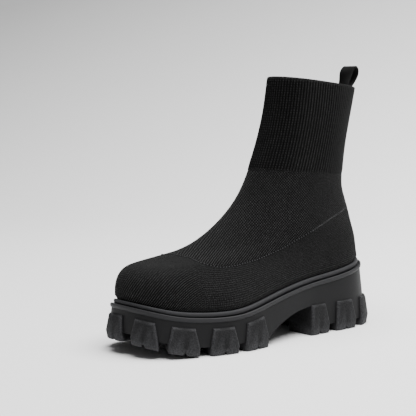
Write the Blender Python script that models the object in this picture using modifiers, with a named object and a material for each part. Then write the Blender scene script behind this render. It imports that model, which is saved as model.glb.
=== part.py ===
"""Chunky-soled sock boot, the left one of a pair, built piece by piece.

Metres, +Z up. The toe points along -Y, and +X is the wearer's left, the outer side of the foot.
The origin lies on the floor under the middle of the whole boot.
"""

import math
from collections import namedtuple

import bmesh
import bpy
import numpy as np

# Driving dimensions of the sole
SOLE_LENGTH = 0.272  # over the lip, without the lugs
BALL_WIDTH = 0.102  # over the lip, across the ball of the foot
PLATFORM_HEIGHT = 0.0325  # floor to lip under the ball
HEEL_HEIGHT = 0.0605  # floor to lip at the back of the heel
TREAD_DEPTH = 0.0073  # floor to the sole's body between two lugs
TOE_SPRING = 0.0130  # how far the tip of the tread rises off the floor
LIP_HEIGHT = 0.0042
LIP_WIDTH = 0.0027
LIP_OVERHANG = 0.0012  # how far the lip stands out over the wall below it
WALL_SLOPE = 0.11  # how far the side wall spreads for each metre on its way down
SHELF_DROP = 0.0015  # lip to the shelf that carries the welt and the upper
ARCH_HEIGHT = 0.0268  # floor to the vault in front of the heel

# Driving dimensions of the lugs
LUG_FOOT = 0.0280  # length of a lug along the edge, near the floor
LUG_TOP = 0.0215
LUG_PROUD_TOP = 0.0027  # how far a lug stands out over the side wall, at its top
LUG_PROUD_BELLY = 0.0036
LUG_BELLY = 0.30  # height of a lug's widest line, as a share of the lug's height
LUG_TUCK = 0.0022  # how far the foot of a lug lies in from its widest line
LUG_DEPTH = 0.0260  # how far a lug runs in under the sole
LUG_TAPER = 0.75  # length of a lug's inner end over its length at the edge
FORE_LUG_DROP = 0.0088  # lip to the top of a lug of the forefoot
HEEL_LUG_HEIGHT = 0.0276
LUG_ROUNDING = 0.0021
NOTCH_WIDTH = 0.0042
NOTCH_HEIGHT = 0.0032
BLOCK_LENGTH = 0.0165  # tread blocks in the middle of the sole
BLOCK_CLEARANCE = 0.0040  # least gap between a block and the lugs on either side
BLOCK_TAPER = 0.90  # width of a block at the floor over its width at the top
BLOCK_SINK = 0.0015  # how far a block runs up into the sole's body

# Driving dimensions of the welt and the insole
WELT_INSET = 0.0031  # lip to the face of the welt's bead
WELT_WIDTH = 0.0029
WELT_HEIGHT = 0.0053
WELT_GROOVE = 0.0011  # how far the groove under the bead steps back
INSOLE_THICKNESS = 0.0030

# Driving dimensions of the knitted upper
KNIT_WALL = 0.0020
FRONT_HEIGHT = 0.2370  # floor to collar at the front
BACK_HEIGHT = 0.2256
UPPER_INSET = 0.0042  # lip to the face of the upper just above the welt
UPPER_RISE = 0.0075  # lip to where the upper reaches that face
CUFF_STEP = 0.0005  # how far the ribbed cuff stands out

# Driving dimensions of the pull loop
TAPE_WIDTH = 0.0170
TAPE_THICKNESS = 0.0012
LOOP_RISE = 0.0228  # collar to the top of the loop
LOOP_DEPTH = 0.0095  # front to back over the loop
LOOP_TAIL = 0.0170  # tape sewn in behind the collar
LOOP_LEAN = 0.00024  # play for the lean of the shaft behind the tape
LOOP_JOIN = 0.0017  # collar to where the tape's two ends part
LOOP_SHIFT = 0.0037  # how far the tape is sewn to the outer side of the foot's axis

GAP = 0.0003  # clearance between two pieces that touch

CENTRE = 0.5053  # share of the sole's length, from the toe, that lies at the origin
STATIONS = 26  # steps of every outline from toe to heel
LIP_SAMPLES = 1200
ARCH_STEPS = 9
LUG_ROUNDING_STEPS = 2

# Outline of the lip, from the toe round the outer side and back by the inner side. Along is a
# share of the sole's length from the toe, across a share of the ball width from the long axis.
OutlineRow = namedtuple("OutlineRow", "along across")
OUTLINE = [
    OutlineRow(0.000, -0.151),
    OutlineRow(0.007, 0.107),
    OutlineRow(0.066, 0.334),
    OutlineRow(0.162, 0.426),
    OutlineRow(0.298, 0.499),
    OutlineRow(0.426, 0.469),
    OutlineRow(0.555, 0.414),
    OutlineRow(0.684, 0.367),
    OutlineRow(0.812, 0.357),
    OutlineRow(0.919, 0.309),
    OutlineRow(0.983, 0.168),
    OutlineRow(1.000, -0.019),
    OutlineRow(0.983, -0.207),
    OutlineRow(0.919, -0.355),
    OutlineRow(0.812, -0.399),
    OutlineRow(0.684, -0.385),
    OutlineRow(0.555, -0.395),
    OutlineRow(0.426, -0.452),
    OutlineRow(0.298, -0.499),
    OutlineRow(0.162, -0.484),
    OutlineRow(0.068, -0.426),
    OutlineRow(0.012, -0.293),
]
HEEL_ROW = 11  # the row of OUTLINE at the back of the heel

# Height of the lip: lift is the share of the way from the platform's height to the heel's.
LipRow = namedtuple("LipRow", "along lift")
LIP_LINE = [
    LipRow(0.000, 0.362),
    LipRow(0.085, 0.142),
    LipRow(0.169, 0.023),
    LipRow(0.335, 0.019),
    LipRow(0.500, 0.296),
    LipRow(0.665, 0.532),
    LipRow(0.831, 0.714),
    LipRow(1.000, 1.000),
]

SPRING_START = 0.225  # share of the sole's length where the tread leaves the floor

# Underside of the arch, from the forefoot to the face of the heel: lift is the share of the way
# from the bottom of the sole's body to the vault.
ArchRow = namedtuple("ArchRow", "along lift")
ARCH = [
    ArchRow(0.425, -0.12),
    ArchRow(0.455, 0.16),
    ArchRow(0.490, 0.42),
    ArchRow(0.540, 0.70),
    ArchRow(0.600, 0.91),
    ArchRow(0.665, 1.00),
]

# Lugs round the edge: place is the share of the way from the toe to the heel along one side, size
# a share of the lug's length and depth a share of its reach under the sole.
LugRow = namedtuple("LugRow", "place size depth heel")
TOE_LUG = LugRow(0.000, 0.84, 0.42, False)
SIDE_LUGS = [
    LugRow(0.1037, 0.91, 0.42, False),
    LugRow(0.2065, 1.00, 0.90, False),
    LugRow(0.3185, 1.00, 1.00, False),
    LugRow(0.4255, 1.03, 1.00, False),
    LugRow(0.6895, 0.90, 1.00, True),
    LugRow(0.7945, 0.97, 1.00, True),
    LugRow(0.9000, 0.92, 0.52, True),
]
BACK_LUG = LugRow(1.000, 0.84, 0.52, True)

# Blocks down the middle of the tread: breadth is a share of the clear width between the lugs.
BlockRow = namedtuple("BlockRow", "along breadth")
BLOCKS = [
    BlockRow(0.155, 0.90),
    BlockRow(0.250, 0.88),
    BlockRow(0.345, 0.88),
    BlockRow(0.430, 0.88),
    BlockRow(0.745, 1.00),
    BlockRow(0.840, 1.00),
]

# Sections of the upper, from the foot to the collar. Each is a slanting ring through one point on
# the front of the boot and one on its back. Front and back are shares of the sole's length from
# the toe. The rises are shares of the way from the lip to the collar, at the front and at the
# back. Fore, waist and rear are half widths near the front, the middle and the back of the ring,
# and turn is how far its front point swings to the outer side, all as shares of the ball width.
UpperRow = namedtuple("UpperRow", "front front_rise back back_rise fore waist rear turn")
UPPER = [
    UpperRow(0.023, 0.000, 0.997, 0.036, 0.405, 0.394, 0.346, -0.073),
    UpperRow(0.028, 0.081, 0.990, 0.092, 0.400, 0.372, 0.339, -0.082),
    UpperRow(0.064, 0.150, 0.982, 0.148, 0.352, 0.352, 0.333, -0.088),
    UpperRow(0.152, 0.174, 0.967, 0.212, 0.292, 0.350, 0.324, -0.044),
    UpperRow(0.270, 0.221, 0.952, 0.285, 0.245, 0.352, 0.310, -0.018),
    UpperRow(0.388, 0.311, 0.931, 0.362, 0.238, 0.350, 0.298, -0.007),
    UpperRow(0.483, 0.424, 0.9095, 0.430, 0.246, 0.340, 0.286, -0.004),
    UpperRow(0.5385, 0.552, 0.9045, 0.508, 0.244, 0.337, 0.273, 0.000),
    UpperRow(0.581, 0.698, 0.919, 0.676, 0.236, 0.333, 0.261, 0.000),
    UpperRow(0.610, 0.847, 0.943, 0.844, 0.228, 0.327, 0.257, 0.000),
    UpperRow(0.627, 1.000, 0.966, 1.000, 0.221, 0.312, 0.257, 0.000),
]
CUFF_ROW = 7  # the row of UPPER where the ribbed cuff starts
FOOT_AXIS = -0.022  # where the sections are centred, across, as a share of the ball width
TURN_FADE = 6  # power with which the swing of the front point dies out towards the back
BLEND_ROWS = 3.0  # rows over which the sole's own outline fades out of the sections
FOOT_STEPS = 14  # rings of the mesh from the welt to the cuff
CUFF_STEPS = 5  # rings of the mesh in the cuff
SECTION_STATIONS = (0.15, 0.50, 0.85)  # where fore, waist and rear are taken along a ring

# Profile of the pull loop: out is a share of LOOP_DEPTH from the tape's sewn face, negative
# towards the inside of the shaft, and up a share of LOOP_RISE above the collar.
LoopRow = namedtuple("LoopRow", "out up")
LOOP = [
    LoopRow(0.00, 0.04),
    LoopRow(0.30, 0.13),
    LoopRow(0.62, 0.30),
    LoopRow(0.78, 0.52),
    LoopRow(0.74, 0.76),
    LoopRow(0.52, 0.95),
    LoopRow(0.16, 1.00),
    LoopRow(-0.12, 0.88),
    LoopRow(-0.24, 0.60),
    LoopRow(-0.27, 0.28),
    LoopRow(-0.29, 0.04),
]
LOOP_COLUMNS = 5


def spline(knots, values, at):
    """Natural cubic through the values, read at the given places."""
    knots = np.asarray(knots, float)
    values = np.asarray(values, float)
    at = np.clip(np.atleast_1d(at), knots[0], knots[-1])
    steps = np.diff(knots)
    last = len(knots) - 1
    system = np.eye(last + 1)
    right = np.zeros(values.shape)
    slopes = np.diff(values, axis=0) / steps.reshape((-1,) + (1,) * (values.ndim - 1))
    for i in range(1, last):
        system[i, i - 1] = steps[i - 1]
        system[i, i] = 2 * (steps[i - 1] + steps[i])
        system[i, i + 1] = steps[i]
        right[i] = 6 * (slopes[i] - slopes[i - 1])
    bend = np.linalg.solve(system, right)
    span = np.clip(np.searchsorted(knots, at, side="right") - 1, 0, last - 1)
    step = steps[span]
    ahead = (knots[span + 1] - at) / step
    behind = (at - knots[span]) / step
    if values.ndim > 1:
        ahead, behind, step = ahead[:, None], behind[:, None], step[:, None]
    curve = (ahead**3 - ahead) * bend[span] + (behind**3 - behind) * bend[span + 1]
    return ahead * values[span] + behind * values[span + 1] + curve * step**2 / 6


def station(along):
    """Y of a share of the sole's length from the toe."""
    return (along - CENTRE) * SOLE_LENGTH


def lip_height(y):
    along = [row.along for row in LIP_LINE]
    lift = spline(along, [row.lift for row in LIP_LINE], np.asarray(y) / SOLE_LENGTH + CENTRE)
    return PLATFORM_HEIGHT + lift * (HEEL_HEIGHT - PLATFORM_HEIGHT)


def toe_spring(y):
    reach = SPRING_START * SOLE_LENGTH + LUG_PROUD_BELLY
    ahead = np.clip((station(SPRING_START) - np.asarray(y)) / reach, 0.0, None)
    return TOE_SPRING * ahead**2


def lip_sides():
    """Each side of the lip from toe to heel: shares of its length, points and outward normals."""
    points = np.array([(row.across * BALL_WIDTH, station(row.along)) for row in OUTLINE])
    pad = 4
    wrapped = np.vstack([points[-pad:], points, points[: pad + 1]])
    chords = np.linalg.norm(np.diff(wrapped, axis=0), axis=1)
    knots = np.concatenate([[0.0], np.cumsum(np.sqrt(chords))])
    sides = {}
    for side in (1, -1):
        ends = (pad, pad + HEEL_ROW) if side > 0 else (pad + len(points), pad + HEEL_ROW)
        curve = spline(knots, wrapped, np.linspace(knots[ends[0]], knots[ends[1]], LIP_SAMPLES))
        tangent = np.gradient(curve, axis=0) * side
        tangent /= np.linalg.norm(tangent, axis=1)[:, None]
        normal = np.column_stack([tangent[:, 1], -tangent[:, 0]])
        length = np.concatenate([[0.0], np.cumsum(np.linalg.norm(np.diff(curve, axis=0), axis=1))])
        sides[side] = (length, curve, normal)
    return sides


LIP = lip_sides()


def lip_point(place, side, out):
    """Points at shares of the way along one side of the lip, moved outwards."""
    length, curve, normal = LIP[side]
    along = np.asarray(place, float) * length[-1]
    # past the toe or the heel the path goes on round the other side
    if np.ndim(along) == 0:
        if along < 0.0:
            return lip_point(-along / LIP[-side][0][-1], -side, out)
        if along > length[-1]:
            rest = (along - length[-1]) / LIP[-side][0][-1]
            return lip_point(1.0 - rest, -side, out)
    x = np.interp(along, length, curve[:, 0]) + out * np.interp(along, length, normal[:, 0])
    y = np.interp(along, length, curve[:, 1]) + out * np.interp(along, length, normal[:, 1])
    return np.stack([x, y], axis=-1)


def lip_ring(stations, out):
    """One closed ring parallel to the lip: out the outer side, back by the inner side."""
    outer = lip_point(np.arange(stations + 1) / stations, 1, out)
    inner = lip_point(np.arange(1, stations) / stations, -1, out)[::-1]
    return np.vstack([outer, inner])


def on_lip(ring, up):
    """The ring laid at a height over the lip."""
    return np.column_stack([ring, lip_height(ring[:, 1]) + up])


def face_out(mesh):
    """Turns the faces of a closed mesh outwards."""
    bmesh.ops.recalc_face_normals(mesh, faces=mesh.faces)
    if mesh.calc_volume(signed=True) < 0:
        bmesh.ops.reverse_faces(mesh, faces=mesh.faces)


def skin(rings, round_section=False, floor=False, roof=False):
    """Mesh of quads between closed rings that run up the shape."""
    mesh = bmesh.new()
    rows = [[mesh.verts.new(point) for point in ring] for ring in rings]
    count = len(rows[0])
    pairs = list(zip(rows, rows[1:]))
    if round_section:
        pairs.append((rows[-1], rows[0]))
    for low, high in pairs:
        for i in range(count):
            j = (i + 1) % count
            mesh.faces.new((low[i], low[j], high[j], high[i]))
    for row in ([rows[0]] if floor else []) + ([rows[-1]] if roof else []):
        for i in range(count // 2):
            corners = [row[i], row[i + 1], row[(count - i - 1) % count], row[(count - i) % count]]
            mesh.faces.new(list(dict.fromkeys(corners)))
    if round_section or (floor and roof):
        face_out(mesh)
    return mesh


def prism(outline, place):
    """Solid between two copies of a flat outline, each point set by place(point, end)."""
    mesh = bmesh.new()
    ends = [[mesh.verts.new(place(point, end)) for point in outline] for end in (0, 1)]
    for end in ends:
        mesh.faces.new(end)
    for i in range(len(outline)):
        j = (i + 1) % len(outline)
        mesh.faces.new((ends[0][i], ends[0][j], ends[1][j], ends[1][i]))
    face_out(mesh)
    return mesh


def material(name, colour, roughness):
    made = bpy.data.materials.new(name)
    made.use_nodes = True
    shader = made.node_tree.nodes["Principled BSDF"]
    shader.inputs["Base Color"].default_value = (*colour, 1.0)
    shader.inputs["Roughness"].default_value = roughness
    shader.inputs["Metallic"].default_value = 0.0
    made.diffuse_color = (*colour, 1.0)
    return made


def add_object(name, mesh, collection, finish=None):
    # flat faces only, so that a cut through a warped one is clean
    bmesh.ops.triangulate(mesh, faces=mesh.faces)
    data = bpy.data.meshes.new(name)
    mesh.to_mesh(data)
    mesh.free()
    made = bpy.data.objects.new(name, data)
    collection.objects.link(made)
    if finish:
        data.materials.append(finish)
        data.shade_smooth()
        data.set_sharp_from_angle(angle=math.radians(40))
    else:
        made.hide_render = True
        made.display_type = "WIRE"
    return made


def wall_out(y, z):
    """How far the side wall lies out from the lip, at a height over the floor."""
    return (lip_height(y) - LIP_HEIGHT - z) * WALL_SLOPE - LIP_OVERHANG


def sole_body():
    """The moulded unit without its lugs: side wall, lip and shelf."""
    chamfer = 0.25 * LIP_OVERHANG
    edge = lip_ring(STATIONS, 0.0)
    outwards = lip_ring(STATIONS, 1.0) - edge
    flare = wall_out(edge[:, 1], TREAD_DEPTH + toe_spring(edge[:, 1]))

    def bottom(inset, up):
        ring = edge + outwards * (flare - inset)[:, None]
        return np.column_stack([ring, TREAD_DEPTH + toe_spring(ring[:, 1]) + up])

    def under_lip(out, drop):
        return on_lip(lip_ring(STATIONS, out), -drop)

    rings = [
        bottom(2 * chamfer, 0.0),
        bottom(0.0, 2 * chamfer),
        under_lip(-LIP_OVERHANG, LIP_HEIGHT),
        under_lip(-chamfer, 0.80 * LIP_HEIGHT),
        under_lip(0.0, 0.45 * LIP_HEIGHT),
        under_lip(-chamfer, 0.12 * LIP_HEIGHT),
        under_lip(-0.40 * LIP_WIDTH, 0.0),
        under_lip(-0.80 * LIP_WIDTH, 0.15 * LIP_HEIGHT),
        under_lip(-LIP_WIDTH, SHELF_DROP),
    ]
    return skin(rings, floor=True, roof=True)


def arch_cutter():
    """Everything under the arch, as far back as the upright face of the heel."""
    rows = [row.along for row in ARCH]
    stops = np.linspace(rows[0], rows[-1], ARCH_STEPS)
    vault = spline(rows, [row.lift for row in ARCH], stops)
    outline = [
        (station(along), TREAD_DEPTH + lift * (ARCH_HEIGHT - TREAD_DEPTH))
        for along, lift in zip(stops, vault)
    ]
    outline.append((station(rows[-1]) + 0.1 * TREAD_DEPTH, -TREAD_DEPTH))
    outline.append((station(rows[0]), -TREAD_DEPTH))

    def place(point, end):
        return ((end - 0.5) * 2 * BALL_WIDTH, point[0], point[1])

    return prism(outline, place)


def lug(row, side):
    """One lug at the edge, wrapped round the lip: widest a little over its foot, and notched."""
    path = LIP[side][0][-1]
    foot = row.size * LUG_FOOT / 2
    top = row.size * LUG_TOP / 2
    notch = NOTCH_WIDTH / 2
    centre = lip_point(row.place, side, 0.0)
    centre_out = lip_point(row.place, side, 1.0) - centre

    def place(along, level, lift, end):
        share = row.place + along * (LUG_TAPER if end else 1.0) / path
        edge = lip_point(share, side, 0.0)
        out = lip_point(share, side, 1.0) - edge
        low = float(toe_spring(edge[1]))
        high = HEEL_LUG_HEIGHT if row.heel else lip_height(edge[1])[0] - FORE_LUG_DROP
        z = low + (LUG_BELLY * level if level < 2 else 1.0) * (high - low) + lift
        if end:
            # halfway to parallel, so that a lug on a tight bend keeps its width
            inward = (out + centre_out) / np.linalg.norm(out + centre_out)
            return (*(edge - inward * row.depth * LUG_DEPTH), z)
        proud = LUG_PROUD_TOP if level == 2 else LUG_PROUD_BELLY - (LUG_TUCK if level == 0 else 0.0)
        return (*(edge + out * (wall_out(edge[1], z)[0] + proud)), z)

    columns = [
        [(-foot, 0.0), (-foot, 0.0), (-top, 0.0)],
        [(-notch, 0.0), (-foot / 3, 0.0), (-top / 3, 0.0)],
        [(0.0, NOTCH_HEIGHT), (0.0, 0.0), (0.0, 0.0)],
        [(notch, 0.0), (foot / 3, 0.0), (top / 3, 0.0)],
        [(foot, 0.0), (foot, 0.0), (top, 0.0)],
    ]
    mesh = bmesh.new()
    grids = []
    for end in (0, 1):
        grid = []
        for column in columns:
            points = [place(along, level, lift, end) for level, (along, lift) in enumerate(column)]
            grid.append([mesh.verts.new(point) for point in points])
        grids.append(grid)
    for grid in grids:
        for near, far in zip(grid, grid[1:]):
            for level in (0, 1):
                mesh.faces.new((near[level], far[level], far[level + 1], near[level + 1]))
    rims = [
        [column[0] for column in grid] + grid[-1][1:] + [column[2] for column in grid[-2::-1]]
        + [grid[0][1]]
        for grid in grids
    ]
    outer, inner = rims
    for i in range(len(outer)):
        j = (i + 1) % len(outer)
        mesh.faces.new((outer[i], outer[j], inner[j], inner[i]))
    face_out(mesh)
    notched = {column[0] for column in grids[0][1:4]}
    rim = set(outer)
    rounded = [
        edge
        for edge in mesh.edges
        if len(edge.link_faces) == 2
        and edge.verts[0] in rim
        and edge.verts[1] in rim
        and not notched & set(edge.verts)
        and edge.calc_face_angle() > math.radians(30)
    ]
    bmesh.ops.bevel(
        mesh,
        geom=rounded,
        offset=LUG_ROUNDING,
        segments=LUG_ROUNDING_STEPS,
        profile=0.5,
        affect="EDGES",
        clamp_overlap=True,
    )
    return mesh


def lip_span(y):
    """X of the lip's outer and inner side at one Y."""
    found = []
    for side in (1, -1):
        curve = LIP[side][1]
        found.append(float(np.interp(y, curve[:, 1], curve[:, 0])))
    return found


def block(row):
    """One block of the tread's middle, its top sunk in the sole's body."""
    half = BLOCK_LENGTH / 2
    middle = station(row.along)
    outer, inner = lip_span(middle)
    centre = (outer + inner) / 2
    width = row.breadth * (outer - inner - 2 * LUG_DEPTH - 2 * BLOCK_CLEARANCE)
    mesh = bmesh.new()
    bmesh.ops.create_cube(mesh, size=1.0)
    for vert in mesh.verts:
        y = middle + 2 * vert.co.y * half
        low = vert.co.z < 0
        x = centre + vert.co.x * width * (BLOCK_TAPER if low else 1.0)
        z = float(toe_spring(y)) + (0.0 if low else TREAD_DEPTH + BLOCK_SINK)
        vert.co = (x, y, z)
    return mesh


def tread_pieces():
    """Every lug and block of the tread with its name."""
    pieces = [("lug_toe", lug(TOE_LUG, 1)), ("lug_back", lug(BACK_LUG, 1))]
    for i, row in enumerate(SIDE_LUGS):
        pieces.append((f"lug_outer_{i + 1}", lug(row, 1)))
        pieces.append((f"lug_inner_{i + 1}", lug(row, -1)))
    for i, row in enumerate(BLOCKS):
        pieces.append((f"block_{i + 1}", block(row)))
    return pieces


def outsole(parts, cutters):
    finish = material("rubber", (0.035, 0.035, 0.036), 0.75)
    made = add_object("outsole", sole_body(), parts, finish)
    tread = bpy.data.collections.new("tread")
    cutters.children.link(tread)
    for name, mesh in tread_pieces():
        add_object(name, mesh, tread)
    arch = made.modifiers.new("arch", "BOOLEAN")
    arch.operation = "DIFFERENCE"
    arch.solver = "EXACT"
    arch.object = add_object("arch_cutter", arch_cutter(), cutters)
    lugs = made.modifiers.new("tread", "BOOLEAN")
    lugs.operation = "UNION"
    lugs.solver = "EXACT"
    lugs.operand_type = "COLLECTION"
    lugs.collection = tread


def welt(parts):
    """Rolled welt round the upper: a groove, then a bead above it."""
    seat = GAP - SHELF_DROP
    back = WELT_INSET + WELT_WIDTH
    profile = [
        (WELT_INSET + WELT_GROOVE, 0.0),
        (WELT_INSET + WELT_GROOVE, 0.32),
        (WELT_INSET + 0.3 * WELT_GROOVE, 0.42),
        (WELT_INSET, 0.65),
        (WELT_INSET + 0.3 * WELT_GROOVE, 0.88),
        (WELT_INSET + WELT_GROOVE, 1.0),
        (back, 1.0),
        (back, 0.0),
    ]
    rings = [
        on_lip(lip_ring(STATIONS, -inset), seat + up * WELT_HEIGHT) for inset, up in profile
    ]
    finish = material("welt foam", (0.045, 0.045, 0.046), 0.7)
    add_object("welt", skin(rings, round_section=True), parts, finish)


def insole(parts):
    edge = WELT_INSET + WELT_WIDTH + KNIT_WALL + 2 * GAP
    seat = GAP - SHELF_DROP
    rounding = 0.25 * INSOLE_THICKNESS
    rings = [
        on_lip(lip_ring(STATIONS, -edge), seat),
        on_lip(lip_ring(STATIONS, -edge), seat + INSOLE_THICKNESS - rounding),
        on_lip(lip_ring(STATIONS, -edge - rounding), seat + INSOLE_THICKNESS),
    ]
    finish = material("footbed cloth", (0.02, 0.02, 0.021), 0.9)
    add_object("insole", skin(rings, floor=True, roof=True), parts, finish)


def upper_section(row, angle, side):
    """Ring of the upper through one row of its table, at angles from front to back."""
    front_base = float(lip_height(station(0.0))[0])
    back_base = float(lip_height(station(1.0))[0])
    front = station(row[0])
    front_z = front_base + row[1] * (FRONT_HEIGHT - front_base)
    back = station(row[2])
    back_z = back_base + row[3] * (BACK_HEIGHT - back_base)
    way = (1 - np.cos(angle)) / 2
    near, middle, far = SECTION_STATIONS
    widths = [
        row[4 + i] * BALL_WIDTH / (2 * math.sqrt(at * (1 - at)))
        for i, at in enumerate(SECTION_STATIONS)
    ]
    half = (
        widths[0] * (way - middle) * (way - far) / ((near - middle) * (near - far))
        + widths[1] * (way - near) * (way - far) / ((middle - near) * (middle - far))
        + widths[2] * (way - near) * (way - middle) / ((far - near) * (far - middle))
    )
    centre = (FOOT_AXIS + row[7] * (1 - way) ** TURN_FADE) * BALL_WIDTH
    x = centre + side * np.sin(angle) * half
    return np.column_stack([x, front + (back - front) * way, front_z + (back_z - front_z) * way])


def upper_ring(level, angle, side, base):
    """Ring of the upper's face at a level counted in rows of its table."""
    row = spline(np.arange(len(UPPER)), np.array(UPPER), level)[0]
    ring = upper_section(row, angle, side)
    fade = max(0.0, 1 - level / BLEND_ROWS)
    weight = fade**2 * (3 - 2 * fade)
    return ring + weight * (base - upper_section(np.array(UPPER[0]), angle, side))


def pushed(rings, index, distance):
    """One of the rings moved along the surface's outward normal."""
    ring = rings[index]
    along = np.roll(ring, -1, axis=0) - np.roll(ring, 1, axis=0)
    up = rings[min(index + 1, len(rings) - 1)] - rings[max(index - 1, 0)]
    normal = np.cross(along, up)
    normal /= np.linalg.norm(normal, axis=1)[:, None]
    return ring + distance * normal


def upper_face():
    """Rings of the upper's outer face, from the shelf of the sole to the collar."""
    count = 2 * STATIONS
    index = np.arange(count)
    side = np.where(index <= STATIONS, 1, -1)
    angle = np.pi * np.where(index <= STATIONS, index, count - index) / STATIONS
    base = on_lip(lip_ring(STATIONS, -UPPER_INSET), UPPER_RISE)
    foot_levels = np.linspace(0.0, CUFF_ROW, FOOT_STEPS + 1)
    cuff_levels = np.linspace(CUFF_ROW, len(UPPER) - 1, CUFF_STEPS + 1)
    foot = [upper_ring(level, angle, side, base) for level in foot_levels]
    plain = [upper_ring(level, angle, side, base) for level in cuff_levels]
    cuff = [pushed(plain, i, CUFF_STEP) for i in range(len(plain))]
    rise = plain[1] - plain[0]
    cuff[0] = cuff[0] + 2 * CUFF_STEP * rise / np.linalg.norm(rise, axis=1)[:, None]
    edge = WELT_INSET + WELT_WIDTH + GAP
    tuck = [
        on_lip(lip_ring(STATIONS, -edge), GAP - SHELF_DROP),
        on_lip(lip_ring(STATIONS, -edge), WELT_HEIGHT - SHELF_DROP + 2 * GAP),
    ]
    return tuck + foot + cuff


def upper(parts):
    """The sock, knitted in one: foot, shaft and ribbed cuff, open at collar and sole."""
    finish = material("knit", (0.014, 0.014, 0.0145), 0.95)
    made = add_object("upper", skin(upper_face()), parts, finish)
    wall = made.modifiers.new("wall", "SOLIDIFY")
    wall.thickness = KNIT_WALL
    wall.offset = -1.0
    wall.use_even_offset = True


def back_of_collar(across, up):
    """Y and Z on the shaft's outer face, at the back, up or down from the collar."""
    top = upper_section(np.array(UPPER[-1]), np.array([math.pi]), 1)[0]
    below = upper_section(np.array(UPPER[-2]), np.array([math.pi]), 1)[0]
    front = upper_section(np.array(UPPER[-1]), np.array([0.0]), 1)[0]
    lean = (top[1] - below[1]) / (top[2] - below[2])
    depth = top[1] - front[1]
    far = SECTION_STATIONS[-1]
    reach = UPPER[-1].rear * BALL_WIDTH / (2 * math.sqrt(far * (1 - far)))
    sag = depth * (1 - math.sqrt(1 - (across / reach) ** 2)) / 2
    return top[1] + CUFF_STEP - sag + lean * up, top[2] + up


def pull_loop(parts):
    """Tape folded into a loop, both ends sewn one on the other inside the collar."""
    face = -(KNIT_WALL + GAP + LOOP_LEAN)
    hoop = np.array([(row.out * LOOP_DEPTH, row.up * LOOP_RISE) for row in LOOP])
    middle = hoop.mean(axis=0)
    tangent = np.gradient(hoop, axis=0)
    inward = np.column_stack([-tangent[:, 1], tangent[:, 0]])
    inward /= np.linalg.norm(inward, axis=1)[:, None]
    inward *= np.sign(np.sum(inward * (middle - hoop), axis=1))[:, None]
    hole = hoop + TAPE_THICKNESS * inward
    hole[0] = (-TAPE_THICKNESS, LOOP_JOIN)
    hole[-1] = (hoop[-1][0] + TAPE_THICKNESS, LOOP_JOIN)
    ends = [(hoop[-1][0], -LOOP_TAIL), (0.0, -LOOP_TAIL)]
    outer = np.vstack([hoop, ends])
    foot = hole[-1] + (hole[0] - hole[-1]) * np.array([[1 / 3], [2 / 3]])
    inner = np.vstack([hole, foot])

    def place(points, across):
        placed = [back_of_collar(LOOP_SHIFT + across, up) for _, up in points]
        x = FOOT_AXIS * BALL_WIDTH + LOOP_SHIFT + across
        return [(x, y + face + out, z) for (out, _), (y, z) in zip(points, placed)]

    mesh = bmesh.new()
    columns = []
    for across in np.linspace(-TAPE_WIDTH / 2, TAPE_WIDTH / 2, LOOP_COLUMNS):
        columns.append([[mesh.verts.new(p) for p in place(ring, across)] for ring in (outer, inner)])
    count = len(outer)
    for first, second in zip(columns, columns[1:]):
        for ring in (0, 1):
            for i in range(count):
                j = (i + 1) % count
                mesh.faces.new((first[ring][i], first[ring][j], second[ring][j], second[ring][i]))
    for rings in (columns[0], columns[-1]):
        for i in range(count):
            j = (i + 1) % count
            mesh.faces.new((rings[0][i], rings[0][j], rings[1][j], rings[1][i]))
    face_out(mesh)
    add_object("pull_loop", mesh, parts, material("tape", (0.03, 0.03, 0.031), 0.5))


def clear_scene():
    for old in list(bpy.data.objects):
        bpy.data.objects.remove(old)


def main():
    clear_scene()
    parts = bpy.data.collections.new("sock_boot")
    cutters = bpy.data.collections.new("cutters")
    for collection in (parts, cutters):
        bpy.context.scene.collection.children.link(collection)
    outsole(parts, cutters)
    welt(parts)
    insole(parts)
    upper(parts)
    pull_loop(parts)


main()
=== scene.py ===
"""Looks of a chunky-soled sock boot: knit, welt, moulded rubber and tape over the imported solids.

Metres, +Z up. The toe points along -Y and +X is the outer side of the foot.
"""

import math
from collections import namedtuple

import bmesh
import bpy
import numpy as np
from bpy.props import FloatProperty, FloatVectorProperty, IntProperty, PointerProperty
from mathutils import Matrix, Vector
from mathutils.bvhtree import BVHTree


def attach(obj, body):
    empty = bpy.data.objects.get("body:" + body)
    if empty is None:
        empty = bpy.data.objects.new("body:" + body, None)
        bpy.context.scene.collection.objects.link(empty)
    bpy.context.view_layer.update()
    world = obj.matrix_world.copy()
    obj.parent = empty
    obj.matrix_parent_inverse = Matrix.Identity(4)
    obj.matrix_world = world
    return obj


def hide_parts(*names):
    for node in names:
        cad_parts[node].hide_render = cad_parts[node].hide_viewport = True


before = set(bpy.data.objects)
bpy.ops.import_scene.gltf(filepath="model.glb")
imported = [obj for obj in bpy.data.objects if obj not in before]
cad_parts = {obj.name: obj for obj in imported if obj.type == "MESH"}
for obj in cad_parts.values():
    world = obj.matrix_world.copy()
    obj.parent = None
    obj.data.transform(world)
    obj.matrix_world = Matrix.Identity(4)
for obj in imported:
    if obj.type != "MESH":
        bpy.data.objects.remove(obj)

bl_info = {
    "name": "Sock Boot",
    "version": (1, 0, 0),
    "blender": (4, 5, 0),
    "location": "3D View > Sidebar > Sock Boot",
    "description": "Dresses the sock boot's solids with knit, welt, rubber and tape",
    "category": "Object",
}

MM = 0.001

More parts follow.
